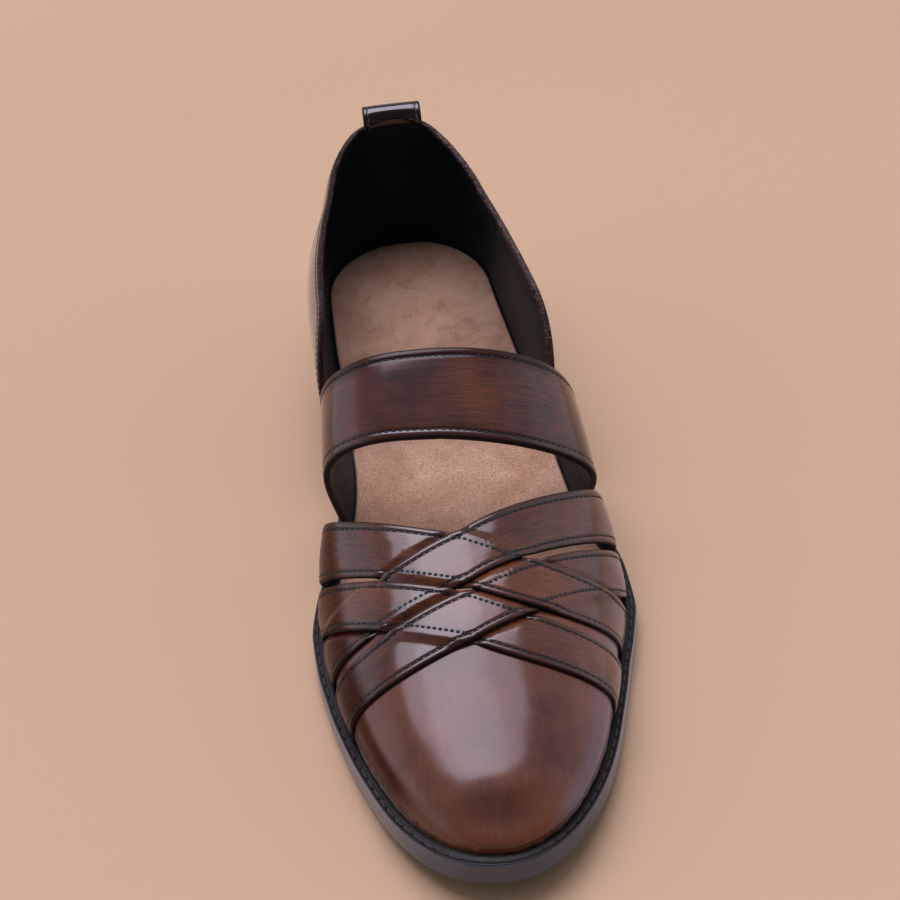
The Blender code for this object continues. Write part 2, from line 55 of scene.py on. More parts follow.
# =====================================================================================
# the last: the functions that the CAD model is worked out from, and its sizes to within 1 mm (mm)
# =====================================================================================
LENGTH, TOE_ROUND, HEEL_ROUND = 300.0, 225.0, 37.0
TOE_SPRING, TREAD_FRONT, BALL, SEAT, HEEL_LIFT, HEEL_BREAST = 8.5, 213.0, 178.0, 62.0, 12.7, 69.0
OUTSOLE_T, WELT_T, INSOLE_RISE, GAP = 5.3, 3.0, 2.2, 0.35
UPPER_T, STRAP_T, LOOP_T = 2.2, 2.4, 1.6
FAN, FAN_END, TIP = 250.0, 268.0, LENGTH - 5.0
STAND = OUTSOLE_T + GAP + WELT_T
HALF_GIRTH = 74.0
PLAN = dict(
    s=[0, 37, 65, 95, 125, 155, 180, 195, 210, 225, 245, 265, 285, 300],
    med=[35.2, 35.4, 35.6, 34.6, 34.8, 39.2, 46.8, 48.9, 48.2, 46.0, 43.1, 41.6, 42.2, 44.2],
    lat=[32.0, 34.0, 36.8, 40.6, 44.6, 49.0, 54.4, 54.8, 52.0, 47.8, 43.9, 42.0, 40.5, 40.0])
INSET = dict(
    s=[0, 30, 100, 150, 200, 250, 300],
    med=[2.2, 2.4, 3.0, 3.6, 4.2, 4.4, 5.2],
    lat=[2.2, 2.4, 3.0, 3.6, 4.0, 4.4, 5.0])
RIDGE = dict(
    s=[85, 110, 135, 160, 185, 210, 235, 260, 280, 296],
    high=[74.0, 70.5, 64.2, 54.5, 45.6, 37.9, 31.0, 22.4, 13.8, 7.5],
    side=[-3.0, -3.2, -3.1, -2.6, -0.6, 1.2, 0.8, 0.0, 0.0, 0.0])
FORM = dict(
    s=[100, 150, 200, 240, 290],
    full_med=[0.62, 0.71, 0.84, 0.83, 0.76],
    full_lat=[0.62, 0.95, 1.15, 1.08, 0.62],
    rise=[0.83, 0.72, 1.10, 0.96, 0.85],
    belly_med=[8.4, 5.0, 2.0, 3.8, 1.6],
    belly_lat=[6.4, 4.4, 1.4, 5.0, 4.0])
CROSS = dict(
    L1=dict(c=[208.7, 31.2, -20.6, -10.3], width=17.2, taper=2.6),
    L2=dict(c=[228.0, 30.0, -15.2, -4.8], width=16.2, taper=2.0),
    R1=dict(c=[207.1, -31.1, -18.9, 10.4], width=16.4, taper=1.6),
    R2=dict(c=[226.6, -28.7, -16.9, 5.7], width=16.0, taper=1.4))
VAMP_REAR = [222.0, 0.0, -16.0, 0.0]
INSTEP = dict(rear=[140.3, 4.5, -15.5, 1.0], front=[166.3, 10.6, -12.9, -9.2], spring=2.8)
QUARTER = dict(
    s=[0, 4, 12, 20, 30, 55, 90, 130],
    high=[57.4, 56.8, 53.8, 51.1, 49.0, 49.3, 47.2, 41.5],
    lean_med=[-2.2, -2.6, -5.0, -6.4, -6.9, -3.3, 1.7, 3.0],
    lean_lat=[-2.2, -2.7, -5.0, -5.7, -5.4, -3.0, 0.8, 5.0],
    belly_med=[2.8, 2.9, 3.1, 2.6, 1.2, 5.5, 6.4, 4.4],
    belly_lat=[2.8, 2.7, 2.6, 2.4, 2.2, 2.0, 0.6, -1.6])
QUARTER_FRONT = {-1: 117.5, 1: 127.5}
QUARTER_ROUND = {-1: 27.0, 1: 31.0}
LOOP = dict(width=21.0, stand=6.3, outer_leg=17.0, inner_leg=5.0, swell=1.0)
# which strap passes over which
OVER = [("R1", "L1"), ("L1", "R2"), ("R2", "L2"), ("L2", "R1")]


def smooth(table, column, s):
    x = np.asarray(table['s'], float)
    y = np.asarray(table[column], float)
    h = np.diff(x)
    d = np.diff(y) / h
    m = np.zeros(len(x))
    for i in range(1, len(x) - 1):
        if d[i - 1] * d[i] > 0:
            a, b = 2 * h[i] + h[i - 1], h[i] + 2 * h[i - 1]
            m[i] = (a + b) / (a / d[i - 1] + b / d[i])
    m[0], m[-1] = d[0], d[-1]
    s = np.clip(np.asarray(s, float), x[0], x[-1])
    k = np.clip(np.searchsorted(x, s, side='right') - 1, 0, len(x) - 2)
    t = (s - x[k]) / h[k]
    return ((1 + 2 * t) * (1 - t) ** 2 * y[k] + t * (1 - t) ** 2 * h[k] * m[k]
            + t * t * (3 - 2 * t) * y[k + 1] + t * t * (t - 1) * h[k] * m[k + 1])


def ease(t):
    t = np.clip(t, 0, 1)
    return t * t * (3 - 2 * t)


def cubic(c, w):
    w = np.asarray(w, float)
    return c[0] + c[1] * w + c[2] * w * w + c[3] * w ** 3


def half(s, side):
    s = np.asarray(s, float)
    u = np.clip((s - TOE_ROUND) / (LENGTH - TOE_ROUND), 0, 1)
    v = np.clip((HEEL_ROUND - s) / HEEL_ROUND, 0, 1)
    return (smooth(PLAN, 'med' if side < 0 else 'lat', s)
            * np.sqrt(np.clip(1 - u * u, 0, 1)) * np.sqrt(np.clip(1 - v ** 2.1, 0, 1)))


def under(s):
    s = np.asarray(s, float)
    toe = np.clip((s - TREAD_FRONT) / (LENGTH - TREAD_FRONT), 0, 1) ** 2 * TOE_SPRING
    return toe + HEEL_LIFT * ease((BALL - s) / (BALL - SEAT))


def seat(s):
    return under(s) + STAND


def rim(n, table=None, extra=0.0):
    s = LENGTH * (1 - np.cos(np.pi * np.linspace(0, 1, n))) / 2
    out = []
    for side, col in ((-1, 'med'), (1, 'lat')):
        x = side * half(s, side)
        ds, dx = np.gradient(s), np.gradient(x)
        run = np.hypot(ds, dx) + 1e-12
        k = (smooth(table, col, s) if table else 0.0) + extra
        out.append(np.stack([s + side * dx / run * k, x - side * ds / run * k], 1))
    return out


FOOT = dict(zip((-1, 1), rim(241, INSET)))


def toe_arc(line):
    i = int(np.argmax(line[:, 0] >= FAN))
    t = (FAN - line[i - 1, 0]) / (line[i, 0] - line[i - 1, 0])
    p = np.vstack([line[i - 1] + (line[i] - line[i - 1]) * t, line[i:]])
    p[-1] = (TIP, 0.0)
    return p, np.concatenate([[0], np.cumsum(np.hypot(*np.diff(p, axis=0).T))])


TOE = {side: toe_arc(FOOT[side]) for side in (-1, 1)}
TOE_ARC = 0.5 * (TOE[-1][1][-1] + TOE[1][1][-1])
A_MAX = FAN + TOE_ARC


def foot(a, side):
    a = np.asarray(a, float)
    line = FOOT[side]
    i = int(np.argmax(line[:, 0]))
    x1 = np.interp(np.minimum(a, FAN), line[:i + 1, 0], line[:i + 1, 1])
    p, d = TOE[side]
    f = np.clip((a - FAN) / TOE_ARC, 0, 1) * d[-1]
    return (np.where(a <= FAN, a, np.interp(f, d, p[:, 0])),
            np.where(a <= FAN, x1, np.interp(f, d, p[:, 1])))


def last(a, w):
    a, w = np.broadcast_arrays(np.asarray(a, float), np.asarray(w, float))
    (sm, xm), (sl, xl) = foot(a, -1), foot(a, 1)
    med = w < 0
    sf, xf = np.where(med, sm, sl), np.where(med, xm, xl)
    t = np.clip((a - FAN) / TOE_ARC, 0, 1)
    sr = np.where(a <= FAN, a, FAN + t * (2 - t) * (FAN_END - FAN))
    xr = smooth(RIDGE, 'side', sr)
    th = math.pi / 2 * (1 - np.abs(w))
    both = 0.5 * ease((a - (A_MAX - 26)) / 26)
    full_m, full_l = smooth(FORM, 'full_med', sf), smooth(FORM, 'full_lat', sf)
    belly_m, belly_l = smooth(FORM, 'belly_med', sf), smooth(FORM, 'belly_lat', sf)
    full = np.where(med, full_m + (full_l - full_m) * both, full_l + (full_m - full_l) * both)
    belly = np.where(med, belly_m + (belly_l - belly_m) * both, belly_l + (belly_m - belly_l) * both)
    dx, ds = xf - xr, sf - sr
    run = np.hypot(dx, ds) + 1e-9
    c = np.clip(np.cos(th), 0, 1)
    soft = (c * c / (c * c + 0.012)) ** ((1 - full) / 2)      # a rounded ridge, without a crease
    out = c ** full * soft * run + 1.3 * belly * np.sin(2 * th) * c
    s = sr + ds / run * out
    z = seat(s) + GAP + smooth(RIDGE, 'high', s) * np.clip(np.sin(th), 0, 1) ** smooth(FORM, 'rise', sf)
    return np.stack([xr + dx / run * out, s, z], -1)


def instep(a, w):
    p = last(a, w)
    a, w = np.broadcast_arrays(np.asarray(a, float), np.asarray(w, float))
    lift = INSTEP['spring'] * (1 - np.abs(w) ** 5)
    th = math.pi / 2 * (1 - np.abs(w))
    p[..., 0] += np.sign(w) * lift * np.cos(th) ** 0.5
    p[..., 2] += lift * np.sin(th) * 0.5
    return p


BACK = {}
for side in (-1, 1):
    line = FOOT[side]
    d = np.concatenate([[0], np.cumsum(np.hypot(*np.diff(line, axis=0).T))])
    g = np.gradient(line, axis=0)
    g /= np.hypot(g[:, 0], g[:, 1])[:, None]
    BACK[side] = (d, line, np.stack([-g[:, 1] * side, g[:, 0] * side], 1))


def back_station(c):
    c = np.asarray(c, float)
    out = []
    for k in range(2):
        out.append([np.where(c < 0, np.interp(-c, BACK[-1][0], BACK[-1][j][:, k]),
                             np.interp(c, BACK[1][0], BACK[1][j][:, k])) for j in (1, 2)])
    return out[0][0], out[1][0], out[0][1], out[1][1]


def quarter(c, v, n=0.0):
    c, v = np.broadcast_arrays(np.asarray(c, float), np.asarray(v, float))
    s, x, ns, nx = back_station(c)
    g = v / smooth(QUARTER, 'high', s)
    mix = ease((c + 12) / 24)
    lean = smooth(QUARTER, 'lean_med', s) * (1 - mix) + smooth(QUARTER, 'lean_lat', s) * mix
    belly = smooth(QUARTER, 'belly_med', s) * (1 - mix) + smooth(QUARTER, 'belly_lat', s) * mix
    out = lean * g * g + 4 * belly * g * (1 - g) + n
    return np.stack([x + nx * out, s + ns * out, seat(s) + GAP + v], -1)


def quarter_top(c):
    c = np.asarray(c, float)
    s = back_station(c)[0]
    front = np.where(c < 0, QUARTER_FRONT[-1], QUARTER_FRONT[1])
    length = np.where(c < 0, QUARTER_ROUND[-1], QUARTER_ROUND[1])
    u = np.clip((s - (front - length)) / length, 0, 1)
    return smooth(QUARTER, 'high', s) * (1 - u ** 2.3) ** (1 / 2.3)


# the shoe's own stations to the frame: the outsole's box says where the middle is
_lo, _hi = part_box("outsole")
_s = np.linspace(0, LENGTH, 1201)
SHIFT_Y = _hi.y * 1000 + 0.35
SHIFT_X = ((_lo.x + _hi.x) * 1000 - (half(_s, 1).max() - half(_s, -1).max())) / 2


def world(p):
    """(x, s, z) in mm to frame coordinates in metres"""
    p = np.asarray(p, float)
    return np.stack([p[..., 0] + SHIFT_X, SHIFT_Y - p[..., 1], p[..., 2]], -1) * 0.001


# =====================================================================================
# mesh helpers
# =====================================================================================

def unit(v):
    return v / (np.linalg.norm(v, axis=-1, keepdims=True) + 1e-12)


def normals(p):
    """normals of a grid of points, on the side that (rows x columns) turns to"""
    return unit(np.cross(np.gradient(p, axis=0), np.gradient(p, axis=1)))


def wave(p, scale, seed=0.0):
    """a smooth, repeatable wander between -1 and 1"""
    q = np.asarray(p) / scale + seed
    x, y, z = q[..., 0], q[..., 1], q[..., 2]
    return (np.sin(x * 1.7 + 2.1 * np.sin(y * 0.9 + seed)) * np.cos(y * 1.3 + 1.7 * np.sin(z * 1.1 - seed))
            + 0.6 * np.sin(z * 2.3 + x * 0.8 + 1.3 * np.cos(y * 2.1)) * np.cos(x * 1.9 - y * 0.7)) / 1.6


def build(name, verts, faces, mats, index=None, strip=None, sharp=40.0, merge=0.0, row=None, low=None):
    me = bpy.data.meshes.new(name)
    me.from_pydata(world(verts).tolist(), [], faces)
    for m in mats:
        me.materials.append(m)
    if index is not None:
        me.polygons.foreach_set("material_index", np.asarray(index, np.int32))
    if strip is not None:
        at = me.attributes.new("strip", 'FLOAT_VECTOR', 'POINT')
        at.data.foreach_set("vector", np.asarray(strip, np.float32).ravel())
    if row is not None:
        at = me.attributes.new("row", 'FLOAT', 'POINT')
        at.data.foreach_set("value", np.asarray(row, np.float32).ravel())
    # the low value per point: painted shade where above nothing, painted reflection where below
    if low is not None:
        at = me.attributes.new("low", 'FLOAT', 'POINT')
        at.data.foreach_set("value", np.asarray(low, np.float32).ravel())
    me.update()
    bm = bmesh.new()
    bm.from_mesh(me)
    if merge:
        bmesh.ops.remove_doubles(bm, verts=bm.verts, dist=merge)
    bmesh.ops.recalc_face_normals(bm, faces=bm.faces)
    bm.to_mesh(me)
    bm.free()
    me.shade_smooth()
    if sharp:
        me.set_sharp_from_angle(angle=math.radians(sharp))
    ob = bpy.data.objects.new(name, me)
    scene.collection.objects.link(ob)
    return ob


def slab(name, outer, inner, strip, mats, edge_cols=0, sharp=40.0, merge=0.0, ends=True, end_mat=1, marks=None, painted_light=None, zone=None, zone_in=None, zone_mat=3):
    """closed body between two grids of points; mats are outer face, cut edge, inner face"""
    n, k = outer.shape[:2]
    verts = np.concatenate([outer.reshape(-1, 3), inner.reshape(-1, 3)])
    st = np.concatenate([strip.reshape(-1, 3), strip.reshape(-1, 3)])
    i, j = np.meshgrid(np.arange(n - 1), np.arange(k - 1), indexing='ij')
    i, j = i.ravel(), j.ravel()
    a = i * k + j
    top = np.stack([a, a + 1, a + k + 1, a + k], 1)
    low = np.stack([a, a + k, a + k + 1, a + 1], 1) + n * k
    edge = (j < edge_cols) | (j >= k - 1 - edge_cols)
    faces = [top, low]
    skin = np.where(edge, 1, 0)
    if zone is not None:
        skin = np.where(~edge & zone[:-1, :-1].ravel(), zone_mat, skin)
    back = np.full(len(low), 2)
    if zone_in is not None:
        back = np.where(zone_in[:-1, :-1].ravel(), zone_mat, back)
    index = [skin, back]
    r = np.arange(n - 1)
    for col in (0, k - 1):
        b = r * k + col
        faces.append(np.stack([b, b + k, b + k + n * k, b + n * k], 1))
        index.append(np.full(len(r), 1))
    if ends:
        q = np.arange(k - 1)
        for row in (0, n - 1):
            b = row * k + q
            faces.append(np.stack([b, b + 1, b + 1 + n * k, b + n * k], 1))
            index.append(np.full(len(q), end_mat))
    faces = np.concatenate(faces).tolist()
    if marks is not None:
        marks = np.concatenate([marks.ravel(), np.full(marks.size, 0.01)])
    # painted shade and painted reflection values, the same on both faces
    if painted_light is not None:
        painted_light = np.concatenate([painted_light.ravel(), painted_light.ravel()])
    return build(name, verts, faces, mats, np.concatenate(index), st, sharp, merge, marks, painted_light)


def along(p):
    """running length of a polyline of points"""
    return np.concatenate([[0], np.cumsum(np.linalg.norm(np.diff(p, axis=0), axis=1))])


def even_w(f, n, w0=-1.0, w1=1.0):
    """n values of w that divide the curve f(w) evenly"""
    w = np.linspace(w0, w1, 2001)
    d = along(f(w))
    return np.interp(np.linspace(0, d[-1], n), d, w)


def keep_off_zero(w):
    w = np.array(w, float)
    w[np.abs(w) < 1e-5] = 1e-5
    return w


def painted_side_shade_and_sheen(w):
    """painted shade low down on the inner side, standing in for a dark reflection, and a pale painted reflection low on
    the outer side
    """
    w = np.asarray(w, float)
    return np.where(w < 0, ease((-w - 0.49) / 0.10), -0.45 * ease((w - 0.58) / 0.22))


class Stitches:
    """many small thread segments as one mesh"""

    def __init__(self):
        self.rows = []

    def add(self, points, tangents, normal, length, width, high):
        for p, t, n in zip(points, tangents, normal):
            self.rows.append((p, t, n, length, width, high))

    def line(self, path, normal, pitch, length, width, high, sink=0.0, skip=0.0):
        """stitches along a polyline, lying on the surface whose normals are given"""
        d = along(path)
        count = max(1, int((d[-1] - 2 * skip) / pitch))
        at = skip + (d[-1] - 2 * skip - (count - 1) * pitch) / 2 + pitch * np.arange(count)
        p = np.stack([np.interp(at, d, path[:, i]) for i in range(3)], 1)
        q0 = np.stack([np.interp(at - length / 2, d, path[:, i]) for i in range(3)], 1)
        q1 = np.stack([np.interp(at + length / 2, d, path[:, i]) for i in range(3)], 1)
        n = unit(np.stack([np.interp(at, d, normal[:, i]) for i in range(3)], 1))
        self.add(p - n * sink, unit(q1 - q0), n, length, width, high)

    def mesh(self, name, mat, ring=8, rings=5):
        u = np.linspace(0, math.pi, rings + 2)
        v = np.linspace(0, 2 * math.pi, ring, endpoint=False)
        # a thread segment: full over its middle, pulled in at both ends
        tx = -np.cos(u)
        tr = np.sin(u) ** 0.55
        base = [(tx[0], 0, 0)]
        for k in range(1, rings + 1):
            base += [(tx[k], tr[k] * math.cos(b), tr[k] * math.sin(b)) for b in v]
        base.append((tx[-1], 0, 0))
        base = np.array(base)
        faces = []
        for b in range(ring):
            c = (b + 1) % ring
            faces.append((0, 1 + c, 1 + b))
            for k in range(rings - 1):
                o = 1 + k * ring
                faces.append((o + b, o + c, o + ring + c, o + ring + b))
            o = 1 + (rings - 1) * ring
            faces.append((o + b, o + c, len(base) - 1))
        verts, allf, strip = [], [], []
        m = len(base)
        for i, (p, t, n, length, width, high) in enumerate(self.rows):
            n = n - t * np.dot(n, t)
            n = n / np.linalg.norm(n)
            b = np.cross(n, t)
            q = (p + np.outer(base[:, 0] * length / 2, t) + np.outer(base[:, 1] * width / 2, b)
                 + np.outer(base[:, 2] * high / 2, n))
            verts.append(q)
            strip.append(np.stack([base[:, 0] * length / 2, base[:, 1] * width, np.full(m, i * 0.37)], 1))
            allf += [tuple(x + i * m for x in f) for f in faces]
        return build(name, np.concatenate(verts), allf, [mat], None, np.concatenate(strip), sharp=None)


# =====================================================================================
# materials
# =====================================================================================

class Nodes:
    def __init__(self, name):
        self.m = bpy.data.materials.new(name)
        self.m.use_nodes = True
        self.t = self.m.node_tree
        self.b = self.t.nodes["Principled BSDF"]
        self.strip = None
        self.obj = None

    def n(self, kind, **sets):
        node = self.t.nodes.new(kind)
        for k, v in sets.items():
            setattr(node, k, v)
        return node

    def link(self, a, b):
        self.t.links.new(a, b)

    def coords(self, kind="object", scale=(1, 1, 1), offset=(0, 0, 0)):
        if kind == "strip":
            if self.strip is None:
                self.strip = self.n("ShaderNodeAttribute", attribute_name="strip", attribute_type='GEOMETRY')
            src = self.strip.outputs["Vector"]
        else:
            if self.obj is None:
                self.obj = self.n("ShaderNodeTexCoord")
            src = self.obj.outputs["Object"]
        mp = self.n("ShaderNodeMapping")
        mp.inputs["Scale"].default_value = scale
        mp.inputs["Location"].default_value = offset
        self.link(src, mp.inputs["Vector"])
        return mp.outputs["Vector"]

    def noise(self, vec, scale, detail=4.0, rough=0.55, dist=0.0):
        x = self.n("ShaderNodeTexNoise")
        x.inputs["Scale"].default_value = scale
        x.inputs["Detail"].default_value = detail
        x.inputs["Roughness"].default_value = rough
        x.inputs["Distortion"].default_value = dist
        self.link(vec, x.inputs["Vector"])
        return x.outputs["Fac"]

    def voronoi(self, vec, scale, feature='F1'):
        x = self.n("ShaderNodeTexVoronoi", feature=feature)
        x.inputs["Scale"].default_value = scale
        self.link(vec, x.inputs["Vector"])
        return x.outputs["Distance"]

    def remap(self, v, a, b, c=0.0, d=1.0, smooth=False):
        x = self.n("ShaderNodeMapRange", interpolation_type='SMOOTHSTEP' if smooth else 'LINEAR')
        x.clamp = True
        for k, val in zip(("From Min", "From Max", "To Min", "To Max"), (a, b, c, d)):
            x.inputs[k].default_value = val
        self.link(v, x.inputs["Value"])
        return x.outputs["Result"]

    def math(self, op, a, b=None):
        x = self.n("ShaderNodeMath", operation=op)
        for i, v in enumerate((a, b)):
            if v is None:
                continue
            if isinstance(v, (int, float)):
                x.inputs[i].default_value = v
            else:
                self.link(v, x.inputs[i])
        return x.outputs[0]

    def mix(self, fac, a, b, mode='MIX'):
        x = self.n("ShaderNodeMix", data_type='RGBA', blend_type=mode)
        sock = {s.identifier: s for s in x.inputs}
        for key, v in (("Factor_Float", fac), ("A_Color", a), ("B_Color", b)):
            if isinstance(v, (int, float)):
                sock[key].default_value = v
            elif isinstance(v, tuple):
                sock[key].default_value = (*v, 1.0)
            else:
                self.link(v, sock[key])
        return {s.identifier: s for s in x.outputs}["Result_Color"]

    def part(self, vec, axis):
        x = self.n("ShaderNodeSeparateXYZ")
        self.link(vec, x.inputs[0])
        return x.outputs[axis]

    def bump(self, heights, strengths, distances):
        last_n = None
        for h, s, d in zip(heights, strengths, distances):
            x = self.n("ShaderNodeBump")
            x.inputs["Strength"].default_value = s
            x.inputs["Distance"].default_value = d
            self.link(h, x.inputs["Height"])
            if last_n is not None:
                self.link(last_n, x.inputs["Normal"])
            last_n = x.outputs["Normal"]
        self.link(last_n, self.b.inputs["Normal"])

    def colour(self, c):
        self.link(c, self.b.inputs["Base Color"])

    def rough(self, r):
        if isinstance(r, (int, float)):
            self.b.inputs["Roughness"].default_value = r
        else:
            self.link(r, self.b.inputs["Roughness"])

    def set(self, **kw):
        for k, v in kw.items():
            self.b.inputs[k].default_value = v


def leather(name, dark, mid, warm, along_scale=(70, 900, 0), coat=1.0, coat_rough=0.145,
            rough=(0.22, 0.32), margin=0.00215, streak_bump=0.04, row=False, shade=0.45, level=0.06, patch=0.9, coat_ior=1.58, streaks=1.0, cloud=0.0):
    """burnished leather: brushed streaks along the piece, soft blotches of dye, darker towards edges"""
    N = Nodes(name)
    ax, ay, az = along_scale
    streak = N.noise(N.coords("strip", along_scale), 1.0, 6.0, 0.62, 0.15)
    fine = N.noise(N.coords("strip", (ax * 2.6, ay * 3.4, 0), (3, 7, 0)), 1.0, 4.0, 0.6)
    blot = N.noise(N.coords("object"), 52.0, 4.0, 0.6, 0.8)
    broad = N.noise(N.coords("object", offset=(2.3, 1.1, 0.7)), 19.0, 2.0, 0.5)
    # dye: dark ground, brown where it was rubbed back, orange-brown in the worn patches
    f1 = N.remap(N.math('ADD', N.math('MULTIPLY', streak, 0.5 * streaks), N.math('MULTIPLY', blot, 1.0 - 0.5 * streaks)), 0.40 - cloud, 0.60 + cloud)
    c = N.mix(f1, dark, mid)
    f2 = N.remap(N.math('ADD', N.math('MULTIPLY', fine, 0.4 * streaks), N.math('MULTIPLY', broad, 1.0 - 0.4 * streaks)), 0.46 - cloud * 0.7, 0.62 + cloud * 0.7)
    c = N.mix(N.math('MULTIPLY', f2, patch), c, warm)
    # painted shade: where the value is above nothing the colour goes to a dark red-brown, standing in for a dark
    # reflection down the side
    at = N.n("ShaderNodeAttribute", attribute_name="low", attribute_type='GEOMETRY')
    painted_light = N.mix(f2, (0.036, 0.0085, 0.0045), (0.085, 0.021, 0.0075))
    c = N.mix(N.remap(at.outputs["Fac"], 0.0, 1.0, 0.0, 0.92), c, painted_light)
    # painted reflection: a pale lavender where the value falls below nothing
    c = N.mix(N.remap(at.outputs["Fac"], 0.0, -1.0, 0.0, 0.9), c, (0.250, 0.228, 0.290))
    e = N.part(N.coords("strip"), 2)
    near = N.remap(e, margin * 0.9, margin * 1.5, shade, 0.0, True)
    c = N.mix(near, c, tuple(v * 0.75 for v in dark))
    # darker at the turned edge: partly dark edge dye, partly painted shade on the roll
    rolled = N.remap(e, 0.0003, 0.0009, 0.74, 0.0, True)
    c = N.mix(rolled, c, (0.013, 0.0060, 0.0058))
    line = N.remap(N.math('ABSOLUTE', N.math('SUBTRACT', e, margin)), 0.00020, 0.0006, 0.85, 0.0, True)
    c = N.mix(line, c, (0.004, 0.0032, 0.0042))
    if row:
        marks = N.n("ShaderNodeAttribute", attribute_name="row", attribute_type='GEOMETRY')
        r = N.remap(N.math('ABSOLUTE', marks.outputs["Fac"]), 0.00025, 0.0011, 0.55, 0.0, True)
        c = N.mix(r, c, (0.006, 0.0045, 0.0055))
    N.colour(c)
    r = N.remap(N.math('ADD', N.math('MULTIPLY', fine, 0.6), N.math('MULTIPLY', blot, 0.4)), 0.3, 0.7, *rough)
    N.rough(N.math('ADD', r, N.math('MULTIPLY', rolled, 0.30)))
    # the polish thins out down the side and over the turned edge
    gloss = N.math('MULTIPLY', N.remap(at.outputs["Fac"], 0.0, 1.0, coat, 0.0), N.remap(rolled, 0.0, 0.74, 1.0, 0.85))
    gloss = N.math('MULTIPLY', gloss, N.remap(at.outputs["Fac"], 0.0, -1.0, 1.0, 0.25))
    N.link(gloss, N.b.inputs["Coat Weight"])
    N.set(**{"Coat Roughness": coat_rough, "Specular IOR Level": level, "Specular Tint": (0.92, 0.88, 1.0, 1.0),
             "Coat IOR": coat_ior, "Sheen Weight": 0.05, "Sheen Roughness": 0.35, "Sheen Tint": (0.72, 0.74, 1.0, 1.0)})
    grain = N.noise(N.coords("object"), 1500.0, 2.0, 0.5)
    N.bump([fine, grain, broad], [streak_bump, 0.05, 0.25], [0.0002, 0.0001, 0.0012])
    return N.m


def lining(name):
    N = Nodes(name)
    v = N.coords("object")
    a = N.noise(v, 900.0, 3.0)
    b = N.noise(v, 60.0, 4.0)
    N.colour(N.mix(N.remap(b, 0.35, 0.7), (0.0075, 0.0125, 0.0160), (0.0130, 0.0205, 0.0260)))
    N.rough(N.remap(a, 0.3, 0.7, 0.40, 0.56))
    N.set(**{"Specular IOR Level": 0.12})
    N.bump([a, b], [0.12, 0.35], [0.0001, 0.0010])
    return N.m


def edge_paint(name, c1, c2, rough=0.45):
    N = Nodes(name)
    v = N.coords("strip", (160, 1400, 0))
    a = N.noise(v, 1.0, 4.0)
    b = N.noise(N.coords("object"), 500.0, 3.0)
    N.colour(N.mix(N.remap(a, 0.35, 0.65), c1, c2))
    N.rough(N.remap(b, 0.3, 0.7, rough - 0.1, rough + 0.12))
    N.set(**{"Specular IOR Level": 0.22})
    N.bump([a, b], [0.2, 0.15], [0.0002, 0.0001])
    return N.m


def rim_leather(name):
    """turned rim: dark, a little red, pinched by close stitching"""
    N = Nodes(name)
    v = N.coords("object")
    a = N.noise(v, 620.0, 3.0, 0.65, 0.4)
    b = N.noise(v, 1500.0, 3.0, 0.6)
    # painted highlight: the rim is lighter, with more pale specks, on the outer side of the foot than on the inner
    side = N.remap(N.part(v, 0), -0.01, 0.02, 0.0, 1.0, True)
    c = N.mix(N.math('MULTIPLY', N.remap(a, 0.44, 0.62), N.remap(side, 0, 1, 0.45, 1.0)), (0.0085, 0.0042, 0.0042), (0.066, 0.025, 0.021))
    c = N.mix(N.math('MULTIPLY', N.remap(b, 0.53, 0.66), N.remap(side, 0, 1, 0.12, 0.75)), c, (0.26, 0.165, 0.155))
    N.colour(c)
    N.rough(N.remap(b, 0.3, 0.7, 0.36, 0.55))
    N.set(**{"Specular IOR Level": 0.22})
    N.bump([a, b], [0.5, 0.3], [0.0005, 0.0003])
    return N.m


def thread(name, c1, c2, rough=0.4):
    N = Nodes(name)
    # the twist of the thread runs slantwise over each stitch
    p = N.coords("strip", (1, 1, 1))
    tw = N.n("ShaderNodeTexWave", wave_type='BANDS', bands_direction='DIAGONAL')
    tw.inputs["Scale"].default_value = 900.0
    N.link(p, tw.inputs["Vector"])
    N.colour(N.mix(tw.outputs["Fac"], c1, c2))
    N.rough(rough)
    N.set(**{"Sheen Weight": 0.04, "Sheen Roughness": 0.4})
    N.bump([tw.outputs["Fac"]], [0.5], [0.00008])
    return N.m


